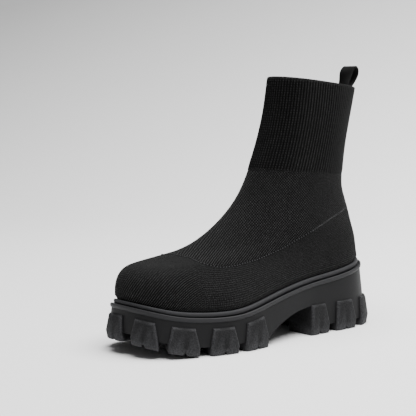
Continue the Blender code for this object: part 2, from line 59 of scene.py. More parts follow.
# Driving dimensions of the sole
SOLE_LENGTH = 0.272  # over the lip, without the lugs
BALL_WIDTH = 0.102  # over the lip, across the ball of the foot
PLATFORM_HEIGHT = 0.0325  # floor to lip under the ball
HEEL_HEIGHT = 0.0605  # floor to lip at the back of the heel
TREAD_DEPTH = 0.0073  # floor to the sole's body between two lugs
TOE_SPRING = 0.0130  # how far the tip of the tread rises off the floor
LIP_HEIGHT = 0.0042
LIP_WIDTH = 0.0027
LIP_OVERHANG = 0.0012  # how far the lip stands out over the wall below it
WALL_SLOPE = 0.11  # how far the side wall spreads for each metre on its way down
SHELF_DROP = 0.0015  # lip to the shelf that carries the welt and the upper
ARCH_HEIGHT = 0.0268  # floor to the vault in front of the heel

# Driving dimensions of the lugs
LUG_FOOT = 0.0280  # length of a lug along the edge, near the floor
LUG_TOP = 0.0215
LUG_PROUD_TOP = 0.0027  # how far a lug stands out over the side wall, at its top
LUG_PROUD_BELLY = 0.0036
LUG_BELLY = 0.30  # height of a lug's widest line, as a share of the lug's height
LUG_TUCK = 0.0022  # how far the foot of a lug lies in from its widest line
LUG_DEPTH = 0.0260  # how far a lug runs in under the sole
LUG_TAPER = 0.75  # length of a lug's inner end over its length at the edge
FORE_LUG_DROP = 0.0088  # lip to the top of a lug of the forefoot
HEEL_LUG_HEIGHT = 0.0276
LUG_ROUNDING = 0.0029  # softer than on the solids
NOTCH_WIDTH = 0.0042
NOTCH_HEIGHT = 0.0032
BLOCK_LENGTH = 0.0165  # tread blocks in the middle of the sole
BLOCK_CLEARANCE = 0.0040  # least gap between a block and the lugs on either side
BLOCK_TAPER = 0.90  # width of a block at the floor over its width at the top
BLOCK_SINK = 0.0015  # how far a block runs up into the sole's body

# Driving dimensions of the welt and the insole
WELT_INSET = 0.0031  # lip to the face of the welt's bead
WELT_WIDTH = 0.0029
WELT_HEIGHT = 0.0053
WELT_GROOVE = 0.0011  # how far the groove under the bead steps back
INSOLE_THICKNESS = 0.0030

# Driving dimensions of the knitted upper
KNIT_WALL = 0.0020
FRONT_HEIGHT = 0.2370  # floor to collar at the front
BACK_HEIGHT = 0.2256
UPPER_INSET = 0.0042  # lip to the face of the upper just above the welt
UPPER_RISE = 0.0075  # lip to where the upper reaches that face
CUFF_STEP = 0.0005  # how far the ribbed cuff stands out

# Driving dimensions of the pull loop
TAPE_WIDTH = 0.0170
TAPE_THICKNESS = 0.0012
LOOP_RISE = 0.0228  # collar to the top of the loop
LOOP_DEPTH = 0.0095  # front to back over the loop
LOOP_TAIL = 0.0170  # tape sewn in behind the collar
LOOP_LEAN = 0.00024  # play for the lean of the shaft behind the tape
LOOP_JOIN = 0.0017  # collar to where the tape's two ends part
LOOP_SHIFT = 0.0037  # how far the tape is sewn to the outer side of the foot's axis

GAP = 0.0003  # clearance between two pieces that touch

CENTRE = 0.5053  # share of the sole's length, from the toe, that lies at the origin
LIP_SAMPLES = 1200
ARCH_STEPS = 9
LUG_ROUNDING_STEPS = 4
LIP_SHARE = 0.9  # share of the lip's height whose rubber is drawn paler as a painted highlight

# Outline of the lip, from the toe round the outer side and back by the inner side. Along is a
# share of the sole's length from the toe, across a share of the ball width from the long axis.
OutlineRow = namedtuple("OutlineRow", "along across")
OUTLINE = [
    OutlineRow(0.000, -0.151),
    OutlineRow(0.007, 0.107),
    OutlineRow(0.066, 0.334),
    OutlineRow(0.162, 0.426),
    OutlineRow(0.298, 0.499),
    OutlineRow(0.426, 0.469),
    OutlineRow(0.555, 0.414),
    OutlineRow(0.684, 0.367),
    OutlineRow(0.812, 0.357),
    OutlineRow(0.919, 0.309),
    OutlineRow(0.983, 0.168),
    OutlineRow(1.000, -0.019),
    OutlineRow(0.983, -0.207),
    OutlineRow(0.919, -0.355),
    OutlineRow(0.812, -0.399),
    OutlineRow(0.684, -0.385),
    OutlineRow(0.555, -0.395),
    OutlineRow(0.426, -0.452),
    OutlineRow(0.298, -0.499),
    OutlineRow(0.162, -0.484),
    OutlineRow(0.068, -0.426),
    OutlineRow(0.012, -0.293),
]
HEEL_ROW = 11  # the row of OUTLINE at the back of the heel

# Height of the lip: lift is the share of the way from the platform's height to the heel's.
LipRow = namedtuple("LipRow", "along lift")
LIP_LINE = [
    LipRow(0.000, 0.362),
    LipRow(0.085, 0.142),
    LipRow(0.169, 0.023),
    LipRow(0.335, 0.019),
    LipRow(0.500, 0.296),
    LipRow(0.665, 0.532),
    LipRow(0.831, 0.714),
    LipRow(1.000, 1.000),
]

SPRING_START = 0.225  # share of the sole's length where the tread leaves the floor

# Underside of the arch, from the forefoot to the face of the heel: lift is the share of the way
# from the bottom of the sole's body to the vault.
ArchRow = namedtuple("ArchRow", "along lift")
ARCH = [
    ArchRow(0.425, -0.12),
    ArchRow(0.455, 0.16),
    ArchRow(0.490, 0.42),
    ArchRow(0.540, 0.70),
    ArchRow(0.600, 0.91),
    ArchRow(0.665, 1.00),
]

# Lugs round the edge: place is the share of the way from the toe to the heel along one side, size
# a share of the lug's length and depth a share of its reach under the sole.
LugRow = namedtuple("LugRow", "place size depth heel")
TOE_LUG = LugRow(0.000, 0.84, 0.42, False)
SIDE_LUGS = [
    LugRow(0.1037, 0.91, 0.42, False),
    LugRow(0.2065, 1.00, 0.90, False),
    LugRow(0.3185, 1.00, 1.00, False),
    LugRow(0.4255, 1.03, 1.00, False),
    LugRow(0.6895, 0.90, 1.00, True),
    LugRow(0.7945, 0.97, 1.00, True),
    LugRow(0.9000, 0.92, 0.52, True),
]
BACK_LUG = LugRow(1.000, 0.84, 0.52, True)

# Blocks down the middle of the tread: breadth is a share of the clear width between the lugs.
BlockRow = namedtuple("BlockRow", "along breadth")
BLOCKS = [
    BlockRow(0.155, 0.90),
    BlockRow(0.250, 0.88),
    BlockRow(0.345, 0.88),
    BlockRow(0.430, 0.88),
    BlockRow(0.745, 1.00),
    BlockRow(0.840, 1.00),
]

# Sections of the upper, from the foot to the collar. Each is a slanting ring through one point on
# the front of the boot and one on its back. Front and back are shares of the sole's length from
# the toe. The rises are shares of the way from the lip to the collar, at the front and at the
# back. Fore, waist and rear are half widths near the front, the middle and the back of the ring,
# and turn is how far its front point swings to the outer side, all as shares of the ball width.
UpperRow = namedtuple("UpperRow", "front front_rise back back_rise fore waist rear turn")
UPPER = [
    UpperRow(0.023, 0.000, 0.997, 0.036, 0.405, 0.394, 0.346, -0.073),
    UpperRow(0.028, 0.081, 0.990, 0.092, 0.400, 0.372, 0.339, -0.082),
    UpperRow(0.064, 0.150, 0.982, 0.148, 0.352, 0.352, 0.333, -0.088),
    UpperRow(0.152, 0.174, 0.967, 0.212, 0.292, 0.350, 0.324, -0.044),
    UpperRow(0.270, 0.221, 0.952, 0.285, 0.245, 0.352, 0.310, -0.018),
    UpperRow(0.388, 0.311, 0.931, 0.362, 0.238, 0.350, 0.298, -0.007),
    UpperRow(0.483, 0.424, 0.9095, 0.430, 0.246, 0.340, 0.286, -0.004),
    UpperRow(0.5385, 0.552, 0.9045, 0.508, 0.244, 0.337, 0.273, 0.000),
    UpperRow(0.581, 0.698, 0.919, 0.676, 0.236, 0.333, 0.261, 0.000),
    UpperRow(0.610, 0.847, 0.943, 0.844, 0.228, 0.327, 0.257, 0.000),
    UpperRow(0.627, 1.000, 0.966, 1.000, 0.221, 0.312, 0.257, 0.000),
]
CUFF_ROW = 7  # the row of UPPER where the ribbed cuff starts
FOOT_AXIS = -0.022  # where the sections are centred, across, as a share of the ball width
TURN_FADE = 6  # power with which the swing of the front point dies out towards the back
BLEND_ROWS = 3.0  # rows over which the sole's own outline fades out of the sections
FOOT_STEPS = 14  # rings of the mesh from the welt to the cuff
CUFF_STEPS = 5  # rings of the mesh in the cuff
SECTION_STATIONS = (0.15, 0.50, 0.85)  # where fore, waist and rear are taken along a ring

# Profile of the pull loop: out is a share of LOOP_DEPTH from the tape's sewn face, negative
# towards the inside of the shaft, and up a share of LOOP_RISE above the collar.
LoopRow = namedtuple("LoopRow", "out up")
LOOP = [
    LoopRow(0.00, 0.04),
    LoopRow(0.30, 0.13),
    LoopRow(0.62, 0.30),
    LoopRow(0.78, 0.52),
    LoopRow(0.74, 0.76),
    LoopRow(0.52, 0.95),
    LoopRow(0.16, 1.00),
    LoopRow(-0.12, 0.88),
    LoopRow(-0.24, 0.60),
    LoopRow(-0.27, 0.28),
    LoopRow(-0.29, 0.04),
]
LOOP_COLUMNS = 21
LOOP_STEPS = 60
LOOP_TWIST = -0.0009  # how far the edges of the free tape swing to and fro

# What only the looks need
FOOT_RINGS = 110
FOOT_STATIONS = 130
CUFF_RINGS = 44
SOLE_STATIONS = 150
RIB_SAMPLES = 8  # columns of the mesh in one rib
RIM_STEPS = 6

# Seam from the heel quarter down the outer side to the vamp, in millimetres
SEAM = [
    (27.0, 97.0, 112.6),
    (31.7, 83.4, 109.3),
    (34.0, 67.9, 104.2),
    (34.5, 54.4, 98.8),
    (34.4, 43.4, 94.6),
    (34.0, 32.6, 90.6),
    (33.7, 23.5, 87.4),
    (33.5, 14.4, 84.0),
    (33.7, 2.0, 80.6),
    (34.3, -10.7, 77.8),
    (35.1, -23.4, 75.5),
    (35.6, -35.5, 74.2),
    (35.9, -44.5, 73.1),
    (35.7, -52.9, 72.8),
    (34.8, -62.0, 72.8),
    (32.4, -68.5, 74.0),
    (28.3, -75.0, 75.9),
    (20.1, -78.0, 78.0),
    (11.4, -77.3, 79.7),
    (5.9, -78.1, 80.2),
]
# Directions across the two sets of yarn that cross on the instep, forward and backward leaning
INSTEP_YARN = ((0.49, 0.555, -0.67), (0.49, 0.555, 0.67))
CROSSING = (0.080, 0.118)  # heights between which the second set comes up
TOE_CENTRE = (0.050, -0.072, 0.008)  # the wales of the toe bend round this point of the outer edge
# Where along the boot the leaning wales give way to a fine mesh, over the seam and under it
INSTEP_END = (0.030, 0.070)
TOE_END = (-0.110, -0.072)
WALES_END = (0.004, 0.018)  # how far on the inner side of the foot's middle the wales give way
TOE_TOP = (0.056, 0.080)  # heights between which the wales of the toe give way to the mesh
STITCH_START = 0.11  # share of the seam, from the heel, where its stitches start to show
STITCH_FADE = 0.02  # share of the seam over which its pale line turns into needle holes
SEAM_STEPS = 240
STITCH_LIFT = 0.0001

# The cuff's ribs stand out at the back and lie flatter and beady round the shin. Ends are shares
# of the way from the front to the back.
RIBS_END = (0.50, 0.62)
BEADS_END = (0.16, 0.32)
LEAST_RIB = 0.06  # height of a rib at the back over its height at the front
CUFF_HEM = 0.03  # share of the cuff's height over which its ribs die out at either edge
RIM_START = 0.975  # share of the cuff's height where its paler rim starts
CUFF_SAMPLES = 400
# Clouds in a colour: lumps per metre, detail, and the darkest and lightest factor
YARN_CLOUDS = (40.0, 3.0, 0.90, 1.12)
RUBBER_CLOUDS = (30.0, 4.0, 0.88, 1.12)
YARN_FINISH = {
    "roughness": 0.95, "Sheen_Weight": 0.01, "Sheen_Roughness": 0.5, "Specular_IOR_Level": 0.06,
}


def linear(code):
    """Linear colour of an sRGB hex code."""
    channels = [int(code[i : i + 2], 16) / 255 for i in (1, 3, 5)]
    return tuple(c / 12.92 if c <= 0.04045 else ((c + 0.055) / 1.055) ** 2.4 for c in channels)


def add_node(tree, kind, inputs=None, **settings):
    """Adds a node with its settings, and fills its inputs with values or links.

    A node among the inputs stands for its first output.
    """
    node = tree.nodes.new(kind)
    for name, value in settings.items():
        setattr(node, name, value)
    for name, value in (inputs or {}).items():
        if isinstance(value, bpy.types.Node):
            value = value.outputs[0]
        if isinstance(value, bpy.types.NodeSocket):
            tree.links.new(value, node.inputs[name])
        else:
            node.inputs[name].default_value = value
    return node


def add_object(name, data):
    """Object in the scene with the given data."""
    made = bpy.data.objects.new(name, data)
    bpy.context.scene.collection.objects.link(made)
    return made


def new_material(name, roughness, **constants):
    """Material with a Principled shader, whose constants sit on its own sockets.

    The last thing it gives is the position in the boot's own metres.
    """
    material = bpy.data.materials.new(name)
    material.use_nodes = True
    tree = material.node_tree
    shader = tree.nodes["Principled BSDF"]
    shader.inputs["Roughness"].default_value = roughness
    for socket, value in constants.items():
        shader.inputs[socket.replace("_", " ")].default_value = value
    place = add_node(tree, "ShaderNodeTexCoord").outputs["Object"]
    return material, tree, shader, place


def mesh_object(name, points, faces, uv, values):
    """Smooth object from arrays, with a UV map of the yarn and values on its points."""
    mesh = bpy.data.meshes.new(name)
    mesh.from_pydata(points.tolist(), [], faces)
    layer = mesh.uv_layers.new(name="knit")
    index = np.empty(len(mesh.loops), np.int32)
    mesh.loops.foreach_get("vertex_index", index)
    layer.data.foreach_set("uv", uv[index].astype(np.float32).ravel())
    for key, numbers in values.items():
        kept = mesh.attributes.new(key, "FLOAT", "POINT")
        kept.data.foreach_set("value", np.asarray(numbers, np.float32))
    mesh.shade_smooth()
    return add_object(name, mesh)


def tube_faces(rows, columns, closed):
    """Quads between rings, closed into a tube that bites its own tail if asked."""
    low = np.arange(rows if closed else rows - 1)[:, None] * columns
    high = (low + columns) % (rows * columns)
    here = np.arange(columns)[None, :]
    after = (here + 1) % columns
    quads = np.stack([low + here, low + after, high + after, high + here], axis=-1)
    return quads.reshape(-1, 4).tolist()


def outward(rings):
    """Unit normals of a stack of rings that run round the foot by its outer side."""
    along = np.roll(rings, -1, axis=1) - np.roll(rings, 1, axis=1)
    up = np.gradient(rings, axis=0)
    normal = np.cross(along, up)
    return normal / np.linalg.norm(normal, axis=-1, keepdims=True)


def yarn_map(rings):
    """Millimetres round each ring from the front, and up each column, for the knit."""
    step = np.linalg.norm(np.roll(rings, -1, axis=1) - rings, axis=-1)
    half = rings.shape[1] // 2
    outer = np.concatenate([np.zeros((len(rings), 1)), np.cumsum(step[:, :half], axis=1)], axis=1)
    back = np.cumsum(step[:, half:][:, ::-1], axis=1)[:, ::-1]
    across = np.concatenate([outer[:, :half], back], axis=1)
    rise = np.linalg.norm(np.diff(rings, axis=0), axis=-1)
    up = np.concatenate([np.zeros((1, rings.shape[1])), np.cumsum(rise, axis=0)])
    return np.stack([across, up], axis=-1) / MM


def shell(name, outer, wall, **values):
    """Closed wall of cloth inside a stack of rings, with round edges and the yarn's map."""
    normal = outward(outer)
    turn = np.linspace(0, np.pi, RIM_STEPS + 2)[1:-1]
    top, top_normal = outer[-1], normal[-1]
    lift = outer[-1] - outer[-2]
    lift /= np.linalg.norm(lift, axis=-1, keepdims=True)
    rim = [
        top - top_normal * wall / 2 * (1 - math.cos(a)) + lift * wall / 2 * math.sin(a)
        for a in turn
    ]
    inner = (outer - normal * wall)[::-1]
    rings = np.concatenate([outer, rim, inner])
    uv = yarn_map(rings)
    points = rings.reshape(-1, 3)
    faces = tube_faces(len(rings), rings.shape[1], True)
    spread = {}
    for key, numbers in values.items():
        ends = np.repeat(numbers[-1:], RIM_STEPS, axis=0)
        spread[key] = np.concatenate([numbers, ends, numbers[::-1]]).ravel()
    return mesh_object(name, points, faces, uv.reshape(-1, 2), spread)


def spline(knots, values, at):
    """Natural cubic through the values, read at the given places."""
    knots = np.asarray(knots, float)
    values = np.asarray(values, float)
    at = np.clip(np.atleast_1d(at), knots[0], knots[-1])
    steps = np.diff(knots)
    last = len(knots) - 1
    system = np.eye(last + 1)
    right = np.zeros(values.shape)
    slopes = np.diff(values, axis=0) / steps.reshape((-1,) + (1,) * (values.ndim - 1))
    for i in range(1, last):
        system[i, i - 1] = steps[i - 1]
        system[i, i] = 2 * (steps[i - 1] + steps[i])
        system[i, i + 1] = steps[i]
        right[i] = 6 * (slopes[i] - slopes[i - 1])
    bend = np.linalg.solve(system, right)
    span = np.clip(np.searchsorted(knots, at, side="right") - 1, 0, last - 1)
    step = steps[span]
    ahead = (knots[span + 1] - at) / step
    behind = (at - knots[span]) / step
    if values.ndim > 1:
        ahead, behind, step = ahead[:, None], behind[:, None], step[:, None]
    curve = (ahead**3 - ahead) * bend[span] + (behind**3 - behind) * bend[span + 1]
    return ahead * values[span] + behind * values[span + 1] + curve * step**2 / 6


def station(along):
    """Y of a share of the sole's length from the toe."""
    return (along - CENTRE) * SOLE_LENGTH


def lip_height(y):
    """Height of the lip over the floor."""
    along = [row.along for row in LIP_LINE]
    lift = spline(along, [row.lift for row in LIP_LINE], np.asarray(y) / SOLE_LENGTH + CENTRE)
    return PLATFORM_HEIGHT + lift * (HEEL_HEIGHT - PLATFORM_HEIGHT)


def toe_spring(y):
    """How far the tread lies off the floor."""
    reach = SPRING_START * SOLE_LENGTH + LUG_PROUD_BELLY
    ahead = np.clip((station(SPRING_START) - np.asarray(y)) / reach, 0.0, None)
    return TOE_SPRING * ahead**2


def lip_sides():
    """Each side of the lip from toe to heel: shares of its length, points and outward normals."""
    points = np.array([(row.across * BALL_WIDTH, station(row.along)) for row in OUTLINE])
    pad = 4
    wrapped = np.vstack([points[-pad:], points, points[: pad + 1]])
    chords = np.linalg.norm(np.diff(wrapped, axis=0), axis=1)
    knots = np.concatenate([[0.0], np.cumsum(np.sqrt(chords))])
    sides = {}
    for side in (1, -1):
        ends = (pad, pad + HEEL_ROW) if side > 0 else (pad + len(points), pad + HEEL_ROW)
        curve = spline(knots, wrapped, np.linspace(knots[ends[0]], knots[ends[1]], LIP_SAMPLES))
        tangent = np.gradient(curve, axis=0) * side
        tangent /= np.linalg.norm(tangent, axis=1)[:, None]
        normal = np.column_stack([tangent[:, 1], -tangent[:, 0]])
        length = np.concatenate([[0.0], np.cumsum(np.linalg.norm(np.diff(curve, axis=0), axis=1))])
        sides[side] = (length, curve, normal)
    return sides


LIP = lip_sides()


def lip_point(place, side, out):
    """Points at shares of the way along one side of the lip, moved outwards."""
    length, curve, normal = LIP[side]
    along = np.asarray(place, float) * length[-1]
    # past the toe or the heel the path goes on round the other side
    if np.ndim(along) == 0:
        if along < 0.0:
            return lip_point(-along / LIP[-side][0][-1], -side, out)
        if along > length[-1]:
            rest = (along - length[-1]) / LIP[-side][0][-1]
            return lip_point(1.0 - rest, -side, out)
    x = np.interp(along, length, curve[:, 0]) + out * np.interp(along, length, normal[:, 0])
    y = np.interp(along, length, curve[:, 1]) + out * np.interp(along, length, normal[:, 1])
    return np.stack([x, y], axis=-1)


def lip_ring(stations, out):
    """One closed ring parallel to the lip: out the outer side, back by the inner side."""
    outer = lip_point(np.arange(stations + 1) / stations, 1, out)
    inner = lip_point(np.arange(1, stations) / stations, -1, out)[::-1]
    return np.vstack([outer, inner])


def on_lip(ring, up):
    """The ring laid at a height over the lip."""
    return np.column_stack([ring, lip_height(ring[:, 1]) + up])


def face_out(mesh):
    """Turns the faces of a closed mesh outwards."""
    bmesh.ops.recalc_face_normals(mesh, faces=mesh.faces)
    if mesh.calc_volume(signed=True) < 0:
        bmesh.ops.reverse_faces(mesh, faces=mesh.faces)


def skin(rings, capped):
    """Closed mesh of quads between rings, capped at both ends or else running back on itself."""
    mesh = bmesh.new()
    rows = [[mesh.verts.new(point) for point in ring] for ring in rings]
    count = len(rows[0])
    for low, high in zip(rows, rows[1:] if capped else rows[1:] + rows[:1]):
        for i in range(count):
            j = (i + 1) % count
            mesh.faces.new((low[i], low[j], high[j], high[i]))
    for row in (rows[0], rows[-1]) if capped else ():
        for i in range(count // 2):
            corners = [row[i], row[i + 1], row[(count - i - 1) % count], row[(count - i) % count]]
            mesh.faces.new(list(dict.fromkeys(corners)))
    face_out(mesh)
    return mesh


def prism(outline, place):
    """Solid between two copies of a flat outline, each point set by place(point, end)."""
    mesh = bmesh.new()
    ends = [[mesh.verts.new(place(point, end)) for point in outline] for end in (0, 1)]
    for end in ends:
        mesh.faces.new(end)
    for i in range(len(outline)):
        j = (i + 1) % len(outline)
        mesh.faces.new((ends[0][i], ends[0][j], ends[1][j], ends[1][i]))
    face_out(mesh)
    return mesh


def wall_out(y, z):
    """How far the side wall lies out from the lip, at a height over the floor."""
    return (lip_height(y) - LIP_HEIGHT - z) * WALL_SLOPE - LIP_OVERHANG


def sole_body():
    """The moulded unit without its lugs: side wall, lip and shelf."""
    chamfer = 0.25 * LIP_OVERHANG
    edge = lip_ring(SOLE_STATIONS, 0.0)
    outwards = lip_ring(SOLE_STATIONS, 1.0) - edge
    flare = wall_out(edge[:, 1], TREAD_DEPTH + toe_spring(edge[:, 1]))

    def bottom(inset, up):
        ring = edge + outwards * (flare - inset)[:, None]
        return np.column_stack([ring, TREAD_DEPTH + toe_spring(ring[:, 1]) + up])

    def under_lip(out, drop):
        return on_lip(lip_ring(SOLE_STATIONS, out), -drop)

    rings = [
        bottom(2 * chamfer, 0.0),
        bottom(0.0, 2 * chamfer),
        under_lip(-LIP_OVERHANG, LIP_HEIGHT),
        under_lip(-chamfer, 0.80 * LIP_HEIGHT),
        under_lip(0.0, 0.45 * LIP_HEIGHT),
        under_lip(-chamfer, 0.12 * LIP_HEIGHT),
        under_lip(-0.40 * LIP_WIDTH, 0.0),
        under_lip(-0.80 * LIP_WIDTH, 0.15 * LIP_HEIGHT),
        under_lip(-LIP_WIDTH, SHELF_DROP),
    ]
    return skin(rings, capped=True)


def arch_cutter():
    """Everything under the arch, as far back as the upright face of the heel."""
    rows = [row.along for row in ARCH]
    stops = np.linspace(rows[0], rows[-1], ARCH_STEPS)
    vault = spline(rows, [row.lift for row in ARCH], stops)
    outline = [
        (station(along), TREAD_DEPTH + lift * (ARCH_HEIGHT - TREAD_DEPTH))
        for along, lift in zip(stops, vault)
    ]
    outline.append((station(rows[-1]) + 0.1 * TREAD_DEPTH, -TREAD_DEPTH))
    outline.append((station(rows[0]), -TREAD_DEPTH))

    def place(point, end):
        return ((end - 0.5) * 2 * BALL_WIDTH, point[0], point[1])

    return prism(outline, place)


def lug(row, side):
    """One lug at the edge, wrapped round the lip: widest a little over its foot, and notched."""
    path = LIP[side][0][-1]
    foot = row.size * LUG_FOOT / 2
    top = row.size * LUG_TOP / 2
    notch = NOTCH_WIDTH / 2
    centre = lip_point(row.place, side, 0.0)
    centre_out = lip_point(row.place, side, 1.0) - centre

    def place(along, level, lift, end):
        share = row.place + along * (LUG_TAPER if end else 1.0) / path
        edge = lip_point(share, side, 0.0)
        out = lip_point(share, side, 1.0) - edge
        low = float(toe_spring(edge[1]))
        high = HEEL_LUG_HEIGHT if row.heel else lip_height(edge[1])[0] - FORE_LUG_DROP
        z = low + (LUG_BELLY * level if level < 2 else 1.0) * (high - low) + lift
        if end:
            # halfway to parallel, so that a lug on a tight bend keeps its width
            inward = (out + centre_out) / np.linalg.norm(out + centre_out)
            return (*(edge - inward * row.depth * LUG_DEPTH), z)
        proud = LUG_PROUD_TOP if level == 2 else LUG_PROUD_BELLY - (LUG_TUCK if level == 0 else 0.0)
        return (*(edge + out * (wall_out(edge[1], z)[0] + proud)), z)

    columns = [
        [(-foot, 0.0), (-foot, 0.0), (-top, 0.0)],
        [(-notch, 0.0), (-foot / 3, 0.0), (-top / 3, 0.0)],
        [(0.0, NOTCH_HEIGHT), (0.0, 0.0), (0.0, 0.0)],
        [(notch, 0.0), (foot / 3, 0.0), (top / 3, 0.0)],
        [(foot, 0.0), (foot, 0.0), (top, 0.0)],
    ]
    mesh = bmesh.new()
    grids = []
    for end in (0, 1):
        grid = []
        for column in columns:
            points = [place(along, level, lift, end) for level, (along, lift) in enumerate(column)]
            grid.append([mesh.verts.new(point) for point in points])
        grids.append(grid)
    for grid in grids:
        for near, far in zip(grid, grid[1:]):
            for level in (0, 1):
                mesh.faces.new((near[level], far[level], far[level + 1], near[level + 1]))
    rims = [
        [column[0] for column in grid] + grid[-1][1:] + [column[2] for column in grid[-2::-1]]
        + [grid[0][1]]
        for grid in grids
    ]
    outer, inner = rims
    for i in range(len(outer)):
        j = (i + 1) % len(outer)
        mesh.faces.new((outer[i], outer[j], inner[j], inner[i]))
    face_out(mesh)
    notched = {column[0] for column in grids[0][1:4]}
    rim = set(outer)
    rounded = [
        edge
        for edge in mesh.edges
        if len(edge.link_faces) == 2
        and edge.verts[0] in rim
        and edge.verts[1] in rim
        and not notched & set(edge.verts)
        and edge.calc_face_angle() > math.radians(30)
    ]
    bmesh.ops.bevel(
        mesh, geom=rounded, offset=LUG_ROUNDING, segments=LUG_ROUNDING_STEPS, profile=0.5,
        affect="EDGES", clamp_overlap=True,
    )
    return mesh


def lip_span(y):
    """X of the lip's outer and inner side at one Y."""
    found = []
    for side in (1, -1):
        curve = LIP[side][1]
        found.append(float(np.interp(y, curve[:, 1], curve[:, 0])))
    return found


def block(row):
    """One block of the tread's middle, its top sunk in the sole's body."""
    half = BLOCK_LENGTH / 2
    middle = station(row.along)
    outer, inner = lip_span(middle)
    centre = (outer + inner) / 2
    width = row.breadth * (outer - inner - 2 * LUG_DEPTH - 2 * BLOCK_CLEARANCE)
    mesh = bmesh.new()
    bmesh.ops.create_cube(mesh, size=1.0)
    for vert in mesh.verts:
        y = middle + 2 * vert.co.y * half
        low = vert.co.z < 0
        x = centre + vert.co.x * width * (BLOCK_TAPER if low else 1.0)
        z = float(toe_spring(y)) + (0.0 if low else TREAD_DEPTH + BLOCK_SINK)
        vert.co = (x, y, z)
    return mesh


def tread_pieces():
    """Every lug and block of the tread with its name."""
    pieces = [("lug_toe", lug(TOE_LUG, 1)), ("lug_back", lug(BACK_LUG, 1))]
    for i, row in enumerate(SIDE_LUGS):
        pieces.append((f"lug_outer_{i + 1}", lug(row, 1)))
        pieces.append((f"lug_inner_{i + 1}", lug(row, -1)))
    for i, row in enumerate(BLOCKS):
        pieces.append((f"block_{i + 1}", block(row)))
    return pieces


def upper_section(row, angle, side):
    """Ring of the upper through one row of its table, at angles from front to back."""
    front_base = float(lip_height(station(0.0))[0])
    back_base = float(lip_height(station(1.0))[0])
    front = station(row[0])
    front_z = front_base + row[1] * (FRONT_HEIGHT - front_base)
    back = station(row[2])
    back_z = back_base + row[3] * (BACK_HEIGHT - back_base)
    way = (1 - np.cos(angle)) / 2
    near, middle, far = SECTION_STATIONS
    widths = [
        row[4 + i] * BALL_WIDTH / (2 * math.sqrt(at * (1 - at)))
        for i, at in enumerate(SECTION_STATIONS)
    ]
    half = (
        widths[0] * (way - middle) * (way - far) / ((near - middle) * (near - far))
        + widths[1] * (way - near) * (way - far) / ((middle - near) * (middle - far))
        + widths[2] * (way - near) * (way - middle) / ((far - near) * (far - middle))
    )
    centre = (FOOT_AXIS + row[7] * (1 - way) ** TURN_FADE) * BALL_WIDTH
    x = centre + side * np.sin(angle) * half
    return np.column_stack([x, front + (back - front) * way, front_z + (back_z - front_z) * way])


def upper_ring(level, angle, side, base):
    """Ring of the upper's face at a level counted in rows of its table."""
    row = spline(np.arange(len(UPPER)), np.array(UPPER), level)[0]
    ring = upper_section(row, angle, side)
    fade = max(0.0, 1 - level / BLEND_ROWS)
    weight = fade**2 * (3 - 2 * fade)
    return ring + weight * (base - upper_section(np.array(UPPER[0]), angle, side))


def back_of_collar(across, up):
    """Y and Z on the shaft's outer face, at the back, up or down from the collar."""
    top = upper_section(np.array(UPPER[-1]), np.array([math.pi]), 1)[0]
    below = upper_section(np.array(UPPER[-2]), np.array([math.pi]), 1)[0]
    front = upper_section(np.array(UPPER[-1]), np.array([0.0]), 1)[0]
    lean = (top[1] - below[1]) / (top[2] - below[2])
    depth = top[1] - front[1]
    far = SECTION_STATIONS[-1]
    reach = UPPER[-1].rear * BALL_WIDTH / (2 * math.sqrt(far * (1 - far)))
    sag = depth * (1 - math.sqrt(1 - (across / reach) ** 2)) / 2
    return top[1] + CUFF_STEP - sag + lean * up, top[2] + up


def smooth_step(values, ends):
    """0 before the first end, 1 past the second, and an even bend between them."""
    share = np.clip((values - ends[0]) / (ends[1] - ends[0]), 0.0, 1.0)
    return share**2 * (3 - 2 * share)


def knit_zones(rings):
    """Where the foot lies over its seam (1), and where it is a fine mesh (1) and not wales (0)."""
    seam = np.array(sorted((y * MM, z * MM) for _, y, z in SEAM))
    above = rings[..., 2] > np.interp(rings[..., 1], seam[:, 0], seam[:, 1])
    instep = above & (rings[..., 1] > seam[0, 0])
    toe = np.maximum(smooth_step(rings[..., 1], TOE_END), smooth_step(rings[..., 2], TOE_TOP))
    mesh = np.where(instep, smooth_step(rings[..., 1], INSTEP_END), toe)
    # the planes of the wales would lie flat along the inner side
    mesh = np.maximum(mesh, smooth_step(-rings[..., 0], WALES_END))
    return instep.astype(float), mesh


def angles(stations):
    """Angles from front to back and round again, and the side each lies on."""
    index = np.arange(2 * stations)
    side = np.where(index <= stations, 1, -1)
    return np.pi * np.where(index <= stations, index, 2 * stations - index) / stations, side


def foot_rings():
    """Rings of the knit's face from the shelf of the sole to just under the cuff's edge."""
    angle, side = angles(FOOT_STATIONS)
    base = on_lip(lip_ring(FOOT_STATIONS, -UPPER_INSET), UPPER_RISE)
    edge = WELT_INSET + WELT_WIDTH + GAP
    tuck = [
        on_lip(lip_ring(FOOT_STATIONS, -edge), up)
        for up in np.linspace(GAP - SHELF_DROP, WELT_HEIGHT - SHELF_DROP + 2 * GAP, 5)
    ]
    levels = np.linspace(0.0, CUFF_ROW + 0.12, FOOT_RINGS)
    return np.array(tuck + [upper_ring(level, angle, side, base) for level in levels])


